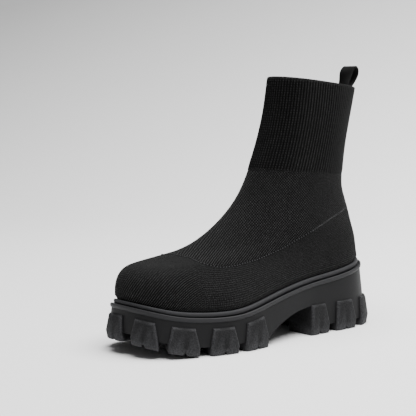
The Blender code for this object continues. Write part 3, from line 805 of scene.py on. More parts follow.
def cuff_rings(count):
    """Rings of the ribbed cuff, with its columns set evenly round the shaft."""
    angle, side = angles(CUFF_SAMPLES)
    base = on_lip(lip_ring(CUFF_SAMPLES, -UPPER_INSET), UPPER_RISE)
    ring = upper_ring(CUFF_ROW + 1.5, angle, side, base)[: CUFF_SAMPLES + 1]
    length = np.concatenate([[0.0], np.cumsum(np.linalg.norm(np.diff(ring, axis=0), axis=1))])
    half = count // 2
    even = np.interp(np.linspace(0, length[-1], half + 1), length, angle[: len(length)])
    angle = np.concatenate([even, even[1:-1][::-1]])
    side = np.concatenate([np.ones(half + 1), -np.ones(half - 1)])
    base = np.zeros((count, 3))
    levels = np.linspace(CUFF_ROW, len(UPPER) - 1, CUFF_RINGS)
    rings = np.array([upper_ring(level, angle, side, base) for level in levels])
    # the lowest ring hides in the foot, so that the cuff grows out of it without a step
    step = CUFF_STEP * np.interp(np.arange(CUFF_RINGS), (0, 1, 4), (-0.9, 0.1, 1.0))
    return rings + outward(rings) * step[:, None, None]


def seam_path():
    """Points of the seam in metres: down the outer side, over the vamp and up the inner side."""
    outer = np.array(SEAM) * MM
    inner = outer[::-1].copy()
    inner[:, 0] = 2 * FOOT_AXIS * BALL_WIDTH - inner[:, 0]
    points = np.vstack([outer, inner])
    steps = np.concatenate([[0.0], np.cumsum(np.linalg.norm(np.diff(points, axis=0), axis=1))])
    return spline(steps, points, np.linspace(0.0, steps[-1], SEAM_STEPS))


def on_surface(rings, points):
    """The points dropped on the skin over a stack of rings, with the normals there."""
    faces = tube_faces(len(rings), rings.shape[1], False)
    tree = BVHTree.FromPolygons(rings.reshape(-1, 3).tolist(), faces)
    found = [tree.find_nearest(Vector(point)) for point in points]
    return np.array([hit[0] for hit in found]), np.array([hit[1] for hit in found])


def seam_values(rings, path, normals):
    """Distance in millimetres from the rings to the seam, and where the seam is stitched (1)."""
    direction = np.gradient(path, axis=0)
    direction /= np.linalg.norm(direction, axis=1)[:, None]
    across = np.cross(direction, normals)
    gap = np.zeros(rings.shape[:2])
    place = np.zeros(rings.shape[:2])
    for i, ring in enumerate(rings):
        apart = np.linalg.norm(ring[:, None] - path[None], axis=-1)
        nearest = apart.argmin(axis=1)
        sign = np.sign(np.sum((ring - path[nearest]) * across[nearest], axis=1))
        gap[i] = sign * apart.min(axis=1) / MM
        place[i] = nearest / (len(path) - 1)
    start = (np.minimum(place, 1 - place) - STITCH_START) / STITCH_FADE
    return gap, np.clip(start, 0.0, 1.0)


def cuff_values(levels, count):
    """Values on the cuff's points: ribs counted, how far they stand out, its rim and its beads."""
    level = np.linspace(0.0, 1.0, levels)[:, None]
    columns = np.arange(count)[None, :]
    shape = (levels, count)
    from_front = 1 - np.abs(columns / count * 2 - 1)
    height = np.clip((RIBS_END[1] - from_front) / (RIBS_END[1] - RIBS_END[0]), 0.0, 1.0)
    ends = np.clip(level / CUFF_HEM, 0.0, 1.0) * np.clip((1 - level) / CUFF_HEM, 0.2, 1.0)
    return {
        "rib": np.broadcast_to(columns / RIB_SAMPLES, shape),
        "fade": (LEAST_RIB + (1 - LEAST_RIB) * height) * ends,
        "rim": np.broadcast_to(np.clip((level - RIM_START) / 0.02, 0.0, 1.0), shape),
        "bead": np.broadcast_to(0.10 + 0.65 * smooth_step(from_front, BEADS_END), shape),
    }


def as_mesh(made):
    """A plain mesh in place of an object with modifiers."""
    graph = bpy.context.evaluated_depsgraph_get()
    mesh = bpy.data.meshes.new_from_object(made.evaluated_get(graph))
    name = made.name
    bpy.data.objects.remove(made)
    mesh.shade_smooth()
    return add_object(name, mesh)


def nodes_tree(name, **inputs):
    """Empty Geometry Nodes tree with a geometry in and out and named inputs."""
    tree = bpy.data.node_groups.new(name, "GeometryNodeTree")
    tree.interface.new_socket("Geometry", in_out="INPUT", socket_type="NodeSocketGeometry")
    for key, (kind, value) in inputs.items():
        socket = tree.interface.new_socket(key.replace("_", " "), in_out="INPUT", socket_type=kind)
        if value is not None:
            socket.default_value = value
    tree.interface.new_socket("Geometry", in_out="OUTPUT", socket_type="NodeSocketGeometry")
    return tree


def run_nodes(made, tree, **values):
    """Runs a Geometry Nodes tree over an object with its inputs set, and makes it a mesh."""
    modifier = made.modifiers.new(tree.name, "NODES")
    modifier.node_group = tree
    for item in tree.interface.items_tree:
        if item.in_out == "INPUT" and item.name.replace(" ", "_") in values:
            modifier[item.identifier] = values[item.name.replace(" ", "_")]
    return as_mesh(made)


def close_tree(tree, geometry, material):
    """Ends a tree in Realize Instances and Set Material."""
    real = add_node(tree, "GeometryNodeRealizeInstances", {"Geometry": geometry})
    painted = add_node(tree, "GeometryNodeSetMaterial", {"Geometry": real, "Material": material})
    add_node(tree, "NodeGroupOutput", {"Geometry": painted})


def rib_tree():
    """Raises ribs along the normal where the attribute rib counts them."""
    tree = nodes_tree(
        "cuff ribs",
        Rib_Height=("NodeSocketFloat", 0.0005),
        Material=("NodeSocketMaterial", None),
    )
    given = add_node(tree, "NodeGroupInput")
    rib, fade = (
        add_node(tree, "GeometryNodeInputNamedAttribute", {"Name": key}, data_type="FLOAT")
        for key in ("rib", "fade")
    )
    turn = add_node(tree, "ShaderNodeMath", {0: rib, 1: 2 * math.pi}, operation="MULTIPLY")
    wave = add_node(tree, "ShaderNodeMath", {0: turn}, operation="COSINE")
    share = add_node(tree, "ShaderNodeMath", {0: wave, 1: fade}, operation="MULTIPLY")
    height = add_node(
        tree, "ShaderNodeMath", {0: share, 1: given.outputs["Rib Height"]}, operation="MULTIPLY"
    )
    normal = add_node(tree, "GeometryNodeInputNormal")
    offset = add_node(
        tree, "ShaderNodeVectorMath", {0: normal, "Scale": height}, operation="SCALE"
    )
    moved = add_node(tree, "GeometryNodeSetPosition", {"Geometry": given, "Offset": offset})
    close_tree(tree, moved, given.outputs["Material"])
    return tree


def stitch_tree():
    """Lays short round stitches along a curve, one every pitch."""
    tree = nodes_tree(
        "stitches",
        Pitch=("NodeSocketFloat", 0.0027),
        Length=("NodeSocketFloat", 0.0017),
        Thread=("NodeSocketFloat", 0.0013),
        Material=("NodeSocketMaterial", None),
    )
    given = add_node(tree, "NodeGroupInput")
    length, thread = given.outputs["Length"], given.outputs["Thread"]
    steps = add_node(
        tree, "GeometryNodeResampleCurve", {"Curve": given, "Length": given.outputs["Pitch"]},
        mode="LENGTH",
    )
    tangent = add_node(tree, "GeometryNodeInputTangent")
    turn = add_node(tree, "FunctionNodeAlignRotationToVector", {"Vector": tangent}, axis="X")
    ball = add_node(tree, "GeometryNodeMeshUVSphere", {"Segments": 8, "Rings": 6, "Radius": 0.5})
    size = add_node(tree, "ShaderNodeCombineXYZ", {"X": length, "Y": thread, "Z": thread})
    laid = add_node(
        tree, "GeometryNodeInstanceOnPoints",
        {"Points": steps, "Instance": ball, "Rotation": turn, "Scale": size},
    )
    close_tree(tree, laid, given.outputs["Material"])
    return tree


def tinted(colour, factor):
    """The colour times a factor."""
    return tuple(factor * c for c in colour)


def ridges(tree, value, pitch):
    """Wave from 0 to 1 that peaks once every pitch."""
    turns = add_node(
        tree, "ShaderNodeMath", {0: value, 1: 2 * math.pi / pitch}, operation="MULTIPLY"
    )
    wave = add_node(tree, "ShaderNodeMath", {0: turns}, operation="COSINE")
    return add_node(tree, "ShaderNodeMath", {0: wave, 1: 0.5, 2: 0.5}, operation="MULTIPLY_ADD")


def yarn_course(tree, wobble):
    """Millimetres round and along the yarn, a little uneven, because yarn never runs straight."""
    yarn = add_node(tree, "ShaderNodeUVMap", uv_map="knit").outputs[0]
    drift = add_node(tree, "ShaderNodeTexNoise", {"Vector": yarn, "Scale": 0.07, "Detail": 2.0})
    moved = add_node(
        tree, "ShaderNodeVectorMath",
        {0: drift.outputs["Color"], 1: (wobble, wobble, wobble), 2: yarn},
        operation="MULTIPLY_ADD",
    )
    parts = add_node(tree, "ShaderNodeSeparateXYZ", {0: moved})
    return parts.outputs[0], parts.outputs[1]


def uneven(tree, place, value, wobble):
    """The value in millimetres with the drift of the yarn added."""
    drift = add_node(
        tree, "ShaderNodeTexNoise",
        {"Vector": place, "Scale": 35.0, "Detail": 5.0, "Roughness": 0.65},
    )
    return add_node(
        tree, "ShaderNodeMath", {0: drift, 1: wobble, 2: value}, operation="MULTIPLY_ADD"
    )


def grained(tree, place, scale, detail, spread):
    """Fine grain, and the factor by which its grains are darker or lighter."""
    grain = add_node(
        tree, "ShaderNodeTexNoise", {"Vector": place, "Scale": scale, "Detail": detail}
    )
    factor = add_node(
        tree, "ShaderNodeMapRange", {0: grain, 1: 0.32, 2: 0.68, 3: 1 - spread, 4: 1 + spread}
    )
    return grain, factor


def yarn_shade(tree, place, height, least, most):
    """Factors of dyed yarn: less light between the loops, and a speck of fluff for every loop."""
    depth = add_node(tree, "ShaderNodeMapRange", {0: height, 3: least, 4: most})
    _, fluff = grained(tree, place, 1200.0, 1.0, 0.75)
    return [depth, fluff]


def dress(tree, shader, place, colour, clouds, factors, relief):
    """Mottles a colour with clouds, shades it by each factor, and lays a relief over it."""
    scale, detail, least, most = clouds
    cloud = add_node(
        tree, "ShaderNodeTexNoise", {"Vector": place, "Scale": scale, "Detail": detail}
    )
    ends = {6: (*tinted(colour, least), 1.0), 7: (*tinted(colour, most), 1.0)}
    tone = add_node(tree, "ShaderNodeMix", {0: cloud, **ends}, data_type="RGBA").outputs[2]
    for factor in factors:
        tone = add_node(
            tree, "ShaderNodeVectorMath", {0: tone, "Scale": factor}, operation="SCALE"
        ).outputs[0]
    tree.links.new(tone, shader.inputs["Base Color"])
    tree.links.new(relief.outputs[0], shader.inputs["Normal"])


def knit_material(name, colour, wale):
    """Flat-knitted polyester yarn: soft, matt, slightly fuzzy, sunk a little along its seam.

    Its loops are drawn coarser than real ones, which are finer than a picture can show.
    """
    material, tree, shader, place = new_material(name, **YARN_FINISH)
    instep, mesh, seam, sewn = (
        add_node(tree, "ShaderNodeAttribute", attribute_name=key).outputs["Fac"]
        for key in ("instep", "mesh", "seam", "sewn")
    )
    # two sets of yarn cross on the instep
    leaning = []
    for way in INSTEP_YARN:
        along = add_node(
            tree, "ShaderNodeVectorMath", {0: place, 1: tinted(way, 1 / MM)},
            operation="DOT_PRODUCT",
        )
        leaning.append(ridges(tree, uneven(tree, place, along.outputs["Value"], 2.5), wale))
    height = add_node(tree, "ShaderNodeSeparateXYZ", {0: place}).outputs[2]
    crossing = add_node(
        tree, "ShaderNodeMapRange", {0: height, 1: CROSSING[0], 2: CROSSING[1], 3: 0.15, 4: 0.5}
    )
    net = add_node(
        tree, "ShaderNodeMix", {0: crossing, 2: leaning[0], 3: leaning[1]}, data_type="FLOAT"
    )
    # one set bends round the toe
    away = add_node(
        tree, "ShaderNodeVectorMath", {0: place, 1: TOE_CENTRE}, operation="DISTANCE"
    ).outputs["Value"]
    away = add_node(tree, "ShaderNodeMath", {0: away, 1: 1 / MM}, operation="MULTIPLY")
    toe = ridges(tree, uneven(tree, place, away, 2.0), 0.97 * wale)
    wales = add_node(tree, "ShaderNodeMix", {0: instep, 2: toe, 3: net}, data_type="FLOAT")
    # the side and the heel are a fine mesh of loops instead
    around, up = yarn_course(tree, 1.0)
    rows = {0: ridges(tree, around, wale), 1: ridges(tree, up, 1.1 * wale)}
    loops = add_node(tree, "ShaderNodeMath", rows, operation="ADD")
    fine = add_node(
        tree, "ShaderNodeMath", {0: loops, 1: 0.33, 2: 0.23}, operation="MULTIPLY_ADD"
    )
    knit = add_node(tree, "ShaderNodeMix", {0: mesh, 2: wales, 3: fine}, data_type="FLOAT")
    relief = add_node(tree, "ShaderNodeMath", {0: knit, 1: 1.7}, operation="POWER")
    cloth = add_node(
        tree, "ShaderNodeBump", {"Height": relief, "Strength": 0.9, "Distance": 0.0008}
    )
    # needle holes pull the cloth down, and the stitched seam is drawn darker there as painted shade
    # in its sunk line; towards the heel, where no stitches show, the seam is drawn as a pale line
    far = add_node(tree, "ShaderNodeMath", {0: seam}, operation="ABSOLUTE")
    trough = add_node(
        tree, "ShaderNodeMapRange", {0: far, 1: 0.3, 2: 1.4}, interpolation_type="SMOOTHSTEP"
    )
    # painted shade along the stitched seam, and a pale line where no stitches show
    seam_shade_and_pale_line = add_node(tree, "ShaderNodeMapRange", {0: sewn, 3: 3.5, 4: 0.2})
    shade = add_node(tree, "ShaderNodeMix", {0: trough, 2: seam_shade_and_pale_line, 3: 1.0}, data_type="FLOAT")
    sunk = add_node(
        tree, "ShaderNodeBump",
        {"Height": trough, "Strength": 0.6, "Distance": 0.0006, "Normal": cloth},
    )
    factors = [*yarn_shade(tree, place, relief, 0.0, 3.6), shade]
    dress(tree, shader, place, colour, YARN_CLOUDS, factors, sunk)
    return material


def rib_material(name, colour, course):
    """Ribbed knit of the cuff: rounded ribs of beady loops, with painted shade in the grooves
    between them.
    """
    material, tree, shader, place = new_material(name, **YARN_FINISH)
    rib, fade, bead, rim = (
        add_node(tree, "ShaderNodeAttribute", attribute_name=key).outputs["Fac"]
        for key in ("rib", "fade", "bead", "rim")
    )
    _, along = yarn_course(tree, 0.6)
    row = ridges(tree, along, 1.25 * course)
    # the loops show as beads where the cuff bends round the shin
    beads = add_node(tree, "ShaderNodeMapRange", {0: row, 3: bead, 4: 1.0})
    crest = ridges(tree, rib, 1.0)
    height = add_node(tree, "ShaderNodeMath", {0: crest, 1: beads}, operation="MULTIPLY")
    relief = add_node(
        tree, "ShaderNodeBump", {"Height": height, "Strength": 0.6, "Distance": 0.0004}
    )
    # painted shade: the grooves between the ribs are drawn far darker than their crests
    plain = add_node(tree, "ShaderNodeMix", {0: fade, 2: 0.45, 3: height}, data_type="FLOAT")
    # the rim at the top of the cuff is drawn paler
    paler_rim = add_node(tree, "ShaderNodeMapRange", {0: rim, 3: 1.0, 4: 1.7})
    factors = [*yarn_shade(tree, place, plain, 0.02, 2.1), paler_rim]
    dress(tree, shader, place, colour, YARN_CLOUDS, factors, relief)
    return material


def rubber_material(name, colour, roughness, grain, depth, rubbed=1.0):
    """Moulded rubber: dull, with the mould's texture as grain, and convex edges drawn paler as a
    painted highlight.
    """
    material, tree, shader, place = new_material(name, roughness, Specular_IOR_Level=0.15)
    sand, grains = grained(tree, place, 1 / (grain * MM), 2.0, 0.7 * depth)
    # painted highlight: the sharper a convex edge, the paler it is drawn
    edges = add_node(tree, "ShaderNodeNewGeometry").outputs["Pointiness"]
    edge_highlight = add_node(tree, "ShaderNodeMapRange", {0: edges, 1: 0.53, 2: 0.60, 3: 1.0, 4: rubbed})
    relief = add_node(
        tree, "ShaderNodeBump", {"Height": sand, "Strength": depth, "Distance": 0.0010}
    )
    dress(tree, shader, place, colour, RUBBER_CLOUDS, [grains, edge_highlight], relief)
    return material


def tape_material(name, colour):
    """Woven polyester ribbon: fine cross ribs and a faint satin sheen."""
    material, tree, shader, place = new_material(
        name, 0.6, Base_Color=(*colour, 1.0), Sheen_Weight=0.02, Specular_IOR_Level=0.1
    )
    weave = add_node(
        tree, "ShaderNodeTexWave", {"Vector": place, "Scale": 300.0}, bands_direction="Z"
    ).outputs["Fac"]
    relief = add_node(
        tree, "ShaderNodeBump", {"Height": weave, "Strength": 0.3, "Distance": 0.0002}
    )
    tree.links.new(relief.outputs[0], shader.inputs["Normal"])
    return material


def cloth_material(name, colour, thread):
    """Plain-woven lining cloth: two sets of crossing threads, quite matt."""
    material, tree, shader, place = new_material(
        name, 0.9, Base_Color=(*colour, 1.0), Specular_IOR_Level=0.2
    )
    bands = {"Vector": place, "Scale": 2 * math.pi / (20 * thread * MM)}
    warp, weft = (
        add_node(tree, "ShaderNodeTexWave", bands, bands_direction=axis).outputs["Fac"]
        for axis in ("X", "Y")
    )
    crossed = add_node(tree, "ShaderNodeMath", {0: warp, 1: weft}, operation="MULTIPLY")
    relief = add_node(
        tree, "ShaderNodeBump", {"Height": crossed, "Strength": 0.5, "Distance": 0.0003}
    )
    tree.links.new(relief.outputs[0], shader.inputs["Normal"])
    return material


def from_bmesh(name, mesh, material, angle=None):
    """Smooth object from a bmesh, sharp only past an angle."""
    data = bpy.data.meshes.new(name)
    mesh.to_mesh(data)
    mesh.free()
    data.materials.append(material)
    data.shade_smooth()
    if angle:
        data.set_sharp_from_angle(angle=math.radians(angle))
    return add_object(name, data)


def settle(piece, *nodes, slot):
    """Lets a finished piece ride on the boot in place of its solids."""
    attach(piece, "root")
    if nodes:
        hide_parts(*nodes)


def welt_mesh():
    """Rolled welt round the upper: a groove, then a round bead above it."""
    seat = GAP - SHELF_DROP
    back = WELT_INSET + WELT_WIDTH
    groove = WELT_INSET + WELT_GROOVE
    middle, tall = 0.60 * WELT_HEIGHT, 0.40 * WELT_HEIGHT
    profile = [(groove, 0.0), (groove, 0.16 * WELT_HEIGHT)]
    for turn in np.linspace(-0.5, 0.5, 9) * math.pi:
        profile.append((groove - WELT_GROOVE * math.cos(turn), middle + tall * math.sin(turn)))
    profile += [(back, WELT_HEIGHT), (back, 0.0)]
    rings = [on_lip(lip_ring(SOLE_STATIONS, -inset), seat + up) for inset, up in profile]
    return skin(rings, capped=False)


def insole_mesh():
    """Cloth-topped footbed with a rounded edge."""
    edge = WELT_INSET + WELT_WIDTH + KNIT_WALL + 2 * GAP
    seat = GAP - SHELF_DROP
    rounding = 0.4 * INSOLE_THICKNESS
    rings = [on_lip(lip_ring(SOLE_STATIONS, -edge), seat)]
    for turn in np.linspace(0, math.pi / 2, 5):
        inset = edge + rounding * (1 - math.cos(turn))
        up = seat + INSOLE_THICKNESS - rounding * (1 - math.sin(turn))
        rings.append(on_lip(lip_ring(SOLE_STATIONS, -inset), up))
    return skin(rings, capped=True)


def loop_mesh():
    """Tape folded into a loop, with the soft waves it takes when it stands by itself."""
    face = -(KNIT_WALL + GAP + LOOP_LEAN)
    rows = np.array([(row.out * LOOP_DEPTH, row.up * LOOP_RISE) for row in LOOP])
    steps = np.concatenate([[0.0], np.cumsum(np.linalg.norm(np.diff(rows, axis=0), axis=1))])
    hoop = spline(steps, rows, np.linspace(0.0, steps[-1], LOOP_STEPS))
    middle = hoop.mean(axis=0)
    tangent = np.gradient(hoop, axis=0)
    inward = np.column_stack([-tangent[:, 1], tangent[:, 0]])
    inward /= np.linalg.norm(inward, axis=1)[:, None]
    inward *= np.sign(np.sum(inward * (middle - hoop), axis=1))[:, None]
    hole = hoop + TAPE_THICKNESS * inward
    hole[0] = (-TAPE_THICKNESS, LOOP_JOIN)
    hole[-1] = (hoop[-1][0] + TAPE_THICKNESS, LOOP_JOIN)
    ends = [(hoop[-1][0], -LOOP_TAIL), (0.0, -LOOP_TAIL)]
    outer = np.vstack([hoop, ends])
    foot = hole[-1] + (hole[0] - hole[-1]) * np.array([[1 / 3], [2 / 3]])
    inner = np.vstack([hole, foot])

    def place(points, across):
        placed = [back_of_collar(LOOP_SHIFT + across, up) for _, up in points]
        x = FOOT_AXIS * BALL_WIDTH + LOOP_SHIFT + across
        # the free part of the tape twists, so that a crease runs slantwise over it
        swing = LOOP_TWIST * 2 * across / TAPE_WIDTH
        free = [min(max(up / LOOP_RISE, 0.0), 1.0) for _, up in points]
        return [
            (x, y + face + out + swing * math.sin(2 * math.pi * share), z)
            for (out, _), (y, z), share in zip(points, placed, free)
        ]

    mesh = bmesh.new()
    columns = []
    for across in np.linspace(-TAPE_WIDTH / 2, TAPE_WIDTH / 2, LOOP_COLUMNS):
        columns.append(
            [[mesh.verts.new(p) for p in place(ring, across)] for ring in (outer, inner)]
        )
    count = len(outer)
    for first, second in zip(columns, columns[1:]):
        for ring in (0, 1):
            for i in range(count):
                j = (i + 1) % count
                mesh.faces.new((first[ring][i], first[ring][j], second[ring][j], second[ring][i]))
    for rings in (columns[0], columns[-1]):
        for i in range(count):
            j = (i + 1) % count
            mesh.faces.new((rings[0][i], rings[0][j], rings[1][j], rings[1][i]))
    face_out(mesh)
    return mesh


# Where the photograph was taken from
CAMERA_AZIMUTH = 48.75  # degrees round the boot from straight in front of the toe
CAMERA_DISTANCE = 1.074
CAMERA_HEIGHT = 0.2274
CAMERA_PITCH = 5.84  # degrees down
CAMERA_YAW = 1.86  # degrees the view swings away from the boot's middle
FOCAL_PIXELS = 1176
PHOTO_PIXELS = 416

SWEEP_START = 0.9  # behind the boot, where the paper starts to rise
SWEEP_BEND = 1.2
SWEEP_REACH = 6.0
ROOM_LIGHT = 0.20
BACKDROP_SHARE = 0.05  # power of the lamp on the paper over the soft box's


def build_camera():
    """Camera at the photograph's angle and distance."""
    data = bpy.data.cameras.new("camera")
    data.sensor_width = 36.0
    data.lens = FOCAL_PIXELS / PHOTO_PIXELS * data.sensor_width
    camera = add_object("camera", data)
    turn = math.radians(CAMERA_AZIMUTH)
    camera.location = (
        CAMERA_DISTANCE * math.sin(turn) + FOOT_AXIS * BALL_WIDTH,
        -CAMERA_DISTANCE * math.cos(turn) + (0.5 - CENTRE) * SOLE_LENGTH,
        CAMERA_HEIGHT,
    )
    camera.rotation_euler = (
        math.radians(90 - CAMERA_PITCH), 0.0, math.radians(CAMERA_AZIMUTH + CAMERA_YAW)
    )
    bpy.context.scene.camera = camera


def build_floor(colour):
    """Pale paper that sweeps up behind the boot without a horizon."""
    paper, tree, shader, place = new_material("matt studio paper", 0.9, Specular_IOR_Level=0.1)
    turn = math.radians(CAMERA_AZIMUTH)
    ahead = Vector((-math.sin(turn), math.cos(turn), 0.0))
    aside = Vector((math.cos(turn), math.sin(turn), 0.0))
    # painted shade on the paper: it darkens as it rises, and a little to the left, as the light
    # falls off
    shade = add_node(
        tree, "ShaderNodeVectorMath",
        {0: place, 1: (0.3 * aside.x, 0.3 * aside.y, -1.0)}, operation="DOT_PRODUCT",
    ).outputs["Value"]
    level = add_node(tree, "ShaderNodeMapRange", {0: shade, 1: -0.6, 2: 0.1, 3: 0.4, 4: 1.1})
    paint = add_node(tree, "ShaderNodeVectorMath", {0: colour, "Scale": level}, operation="SCALE")
    tree.links.new(paint.outputs[0], shader.inputs["Base Color"])
    profile = [(-SWEEP_REACH, 0.0), (SWEEP_START, 0.0)]
    for rise in np.linspace(0.0, math.pi / 2, 25)[1:]:
        out = SWEEP_START + SWEEP_BEND * math.sin(rise)
        profile.append((out, SWEEP_BEND * (1 - math.cos(rise))))
    profile.append((SWEEP_START + SWEEP_BEND, SWEEP_REACH))
    mesh = bmesh.new()
    edges = [
        [mesh.verts.new(ahead * out + aside * across + Vector((0, 0, up))) for out, up in profile]
        for across in (SWEEP_REACH, -SWEEP_REACH)
    ]
    for i in range(len(profile) - 1):
        mesh.faces.new((edges[0][i], edges[0][i + 1], edges[1][i + 1], edges[1][i]))
    from_bmesh("floor", mesh, paper)


def add_light(name, power, size, place, aim):
    """Round soft lamp turned towards a point."""
    data = bpy.data.lights.new(name, "AREA")
    data.energy = power
    data.shape = "DISK"
    data.size = size
    light = add_object(name, data)
    light.location = place
    light.rotation_mode = "QUATERNION"
    light.rotation_quaternion = (Vector(aim) - Vector(place)).to_track_quat("-Z", "Y")


def build_light(power):
    """A large soft box high over the boot, a weak lamp on the paper and an even pale room."""
    world = bpy.data.worlds.new("pale room")
    bpy.context.scene.world = world
    world.use_nodes = True
    back = world.node_tree.nodes["Background"]
    back.inputs["Color"].default_value = (1.0, 1.0, 1.0, 1.0)
    back.inputs["Strength"].default_value = ROOM_LIGHT
    add_light("soft box", power, 2.4, (0.45, 0.20, 2.15), (0.15, 0.0, 0.0))
    add_light("backdrop lamp", BACKDROP_SHARE * power, 0.8, (0.41, 1.37, 1.0), (-0.63, 2.01, 0.0))


class KnitSettings(bpy.types.PropertyGroup):
    colour: FloatVectorProperty(
        name="Yarn", description="Colour of the knitted yarn", subtype="COLOR",
        default=linear("#121212"), min=0.0, max=1.0,
    )
    wale: FloatProperty(
        name="Wale", description="Width of one column of loops, in mm", default=1.75, min=0.5
    )
    course: FloatProperty(
        name="Course", description="Height of one row of loops, in mm", default=1.8, min=0.5
    )
    ribs: IntProperty(name="Ribs", description="Ribs round the cuff", default=94, min=20)
    rib_height: FloatProperty(
        name="Rib Height", description="Rise of a rib over the cuff", default=0.00035, min=0.0,
        subtype="DISTANCE", unit="LENGTH",
    )
    stitch_pitch: FloatProperty(
        name="Stitch Pitch", description="From one stitch of the seam to the next",
        default=0.0030, min=0.001, subtype="DISTANCE", unit="LENGTH",
    )


class SoleSettings(bpy.types.PropertyGroup):
    colour: FloatVectorProperty(
        name="Rubber", description="Colour of the moulded sole", subtype="COLOR",
        default=linear("#161617"), min=0.0, max=1.0,
    )
    grain: FloatProperty(
        name="Grain", description="Size of the sandy grain on the lugs, in mm", default=1.2, min=0.2
    )


class StageSettings(bpy.types.PropertyGroup):
    floor: FloatVectorProperty(
        name="Floor", description="Colour of the floor", subtype="COLOR",
        default=linear("#e4e4e4"), min=0.0, max=1.0,
    )
    light: FloatProperty(
        name="Light", description="Power of the soft box over the boot", default=186.0, min=0.0,
        subtype="POWER", unit="POWER",
    )


class BOOT_OT_upper(bpy.types.Operator):
    """Knits the foot and the ribbed cuff and sews the vamp's seam"""

    bl_idname = "boot.upper"
    bl_label = "Knitted Upper"

    def execute(self, context):
        knit = context.scene.boot_knit
        colour = tuple(knit.colour)
        rings = foot_rings()
        instep, mesh = knit_zones(rings)
        spots, normals = on_surface(rings, seam_path())
        gap, sewn = seam_values(rings, spots, normals)
        foot = shell("foot_knit", rings, KNIT_WALL, seam=gap, sewn=sewn, instep=instep, mesh=mesh)
        foot.data.materials.append(knit_material("flat knit yarn", colour, knit.wale))
        settle(foot, "upper", slot="knit")
        count = knit.ribs * RIB_SAMPLES
        cuff = shell("cuff_knit", cuff_rings(count), KNIT_WALL, **cuff_values(CUFF_RINGS, count))
        ribbed = rib_material("ribbed knit yarn", colour, knit.course)
        cuff = run_nodes(cuff, rib_tree(), Rib_Height=knit.rib_height, Material=ribbed)
        settle(cuff, "upper", slot="knit")
        self.sew(spots + STITCH_LIFT * normals, knit.stitch_pitch)
        return {"FINISHED"}

    def sew(self, path, pitch):
        """Lays stitches along the part of the seam where they show."""
        # spun polyester sewing thread: a dull, paler dot in every needle hole
        thread, *_ = new_material(
            "polyester thread", 0.8, Base_Color=(*linear("#2b2b2c"), 1.0), Specular_IOR_Level=0.15
        )
        first = int(STITCH_START * len(path))
        shown = path[first : len(path) - first]
        curve = bpy.data.curves.new("seam", "CURVE")
        curve.dimensions = "3D"
        line = curve.splines.new("POLY")
        line.points.add(len(shown) - 1)
        for point, spot in zip(line.points, shown):
            point.co = (*spot, 1.0)
        seam = add_object("vamp_stitches", curve)
        stitches = run_nodes(seam, stitch_tree(), Pitch=pitch, Material=thread)
        settle(stitches, slot="knit")


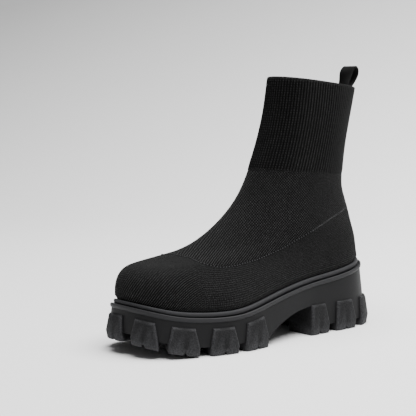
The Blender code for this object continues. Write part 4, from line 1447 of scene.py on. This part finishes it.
class BOOT_OT_sole(bpy.types.Operator):
    """Moulds the outsole with its lugs, the welt and the insole"""

    bl_idname = "boot.sole"
    bl_label = "Sole, Welt and Insole"

    def execute(self, context):
        sole = context.scene.boot_sole
        # each rubber: shade over the sole's colour, roughness, grain in mm, grain depth, and how
        # much paler convex edges are drawn as a painted highlight
        smooth, rubbed, sandy, foam = (
            rubber_material(name, tinted(sole.colour, shade), *finish)
            for name, shade, *finish in (
                ("smooth moulded rubber", 0.76, 0.55, 0.6, 0.12),
                # painted highlight: the whole lip is drawn 2.2 times the sole's colour
                ("rubbed lip rubber", 2.2, 0.55, 0.6, 0.12),
                # painted light: the lugs are drawn lighter than the smooth wall, for their faces
                # that tilt up towards the soft box
                ("sand grained rubber", 0.94, 0.75, sole.grain, 0.65, 4.5),
                # the welt's wrap is paler than the sole, and it is drawn paler still as a painted
                # highlight on the top of its bead
                ("wrapped welt", 3.0, 0.6, 0.8, 0.15, 1.5),
            )
        )
        settle(self.mould(smooth, rubbed, sandy), "outsole", slot="rubber")
        settle(from_bmesh("welt_bead", welt_mesh(), foam, 60), "welt", slot="welt")
        cloth = cloth_material("woven footbed cloth", linear("#1c1c1d"), 0.8)
        settle(from_bmesh("insole_cloth", insole_mesh(), cloth, 50), "insole", slot="footbed")
        return {"FINISHED"}

    def mould(self, smooth, rubbed, sandy):
        """The sole's body with a painted highlight on its lip, cut out at the arch and joined with
        its tread.
        """
        body = from_bmesh("outsole_rubber", sole_body(), smooth, 40)
        body.data.materials.append(rubbed)
        # painted highlight: faces near the top of the lip take the paler lip rubber
        for face in body.data.polygons:
            _, y, z = face.center
            if z > lip_height(y) - LIP_SHARE * LIP_HEIGHT:
                face.material_index = 1
        extras = bpy.data.collections.new("tread")
        bpy.context.scene.collection.children.link(extras)
        helpers = [from_bmesh(name, mesh, sandy, 40) for name, mesh in tread_pieces()]
        for piece in helpers:
            bpy.context.scene.collection.objects.unlink(piece)
            extras.objects.link(piece)
        cutter = from_bmesh("arch_cutter", arch_cutter(), smooth)
        helpers.append(cutter)
        arch = body.modifiers.new("arch", "BOOLEAN")
        arch.operation = "DIFFERENCE"
        arch.solver = "EXACT"
        arch.object = cutter
        tread = body.modifiers.new("tread", "BOOLEAN")
        tread.operation = "UNION"
        tread.solver = "EXACT"
        tread.operand_type = "COLLECTION"
        tread.collection = extras
        tread.material_mode = "TRANSFER"
        body = as_mesh(body)
        for helper in helpers:
            bpy.data.objects.remove(helper)
        bpy.data.collections.remove(extras)
        body.data.set_sharp_from_angle(angle=math.radians(35))
        return body


class BOOT_OT_loop(bpy.types.Operator):
    """Folds the tape of the pull loop at the back of the collar"""

    bl_idname = "boot.loop"
    bl_label = "Pull Loop"

    def execute(self, context):
        tape = tape_material("woven polyester tape", linear("#070707"))
        settle(from_bmesh("loop_tape", loop_mesh(), tape, 50), "pull_loop", slot="tape")
        return {"FINISHED"}


class BOOT_OT_stage(bpy.types.Operator):
    """Puts up the floor, the soft light and the camera"""

    bl_idname = "boot.stage"
    bl_label = "Stage, Light and Camera"

    def execute(self, context):
        stage = context.scene.boot_stage
        build_camera()
        build_floor(tuple(stage.floor))
        build_light(stage.light)
        return {"FINISHED"}


class BOOT_PT_panel(bpy.types.Panel):
    """Settings and steps of the sock boot"""

    bl_idname = "BOOT_PT_panel"
    bl_label = "Sock Boot"
    bl_space_type = "VIEW_3D"
    bl_region_type = "UI"
    bl_category = "Sock Boot"

    def draw(self, context):
        layout = self.layout
        for group in (context.scene.boot_knit, context.scene.boot_sole, context.scene.boot_stage):
            for name in group.__annotations__:
                layout.prop(group, name)
        for operator in OPERATORS:
            layout.operator(operator.bl_idname)


GROUPS = {"boot_knit": KnitSettings, "boot_sole": SoleSettings, "boot_stage": StageSettings}
OPERATORS = (BOOT_OT_upper, BOOT_OT_sole, BOOT_OT_loop, BOOT_OT_stage)


def register():
    for kind in (*GROUPS.values(), *OPERATORS, BOOT_PT_panel):
        bpy.utils.register_class(kind)
    for name, kind in GROUPS.items():
        setattr(bpy.types.Scene, name, PointerProperty(type=kind))


def unregister():
    for name in GROUPS:
        delattr(bpy.types.Scene, name)
    for kind in (BOOT_PT_panel, *reversed(OPERATORS), *reversed(list(GROUPS.values()))):
        bpy.utils.unregister_class(kind)


def main():
    register()
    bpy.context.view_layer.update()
    bpy.ops.boot.upper()
    bpy.ops.boot.sole()
    bpy.ops.boot.loop()
    bpy.ops.boot.stage()


if __name__ == "__main__":
    main()
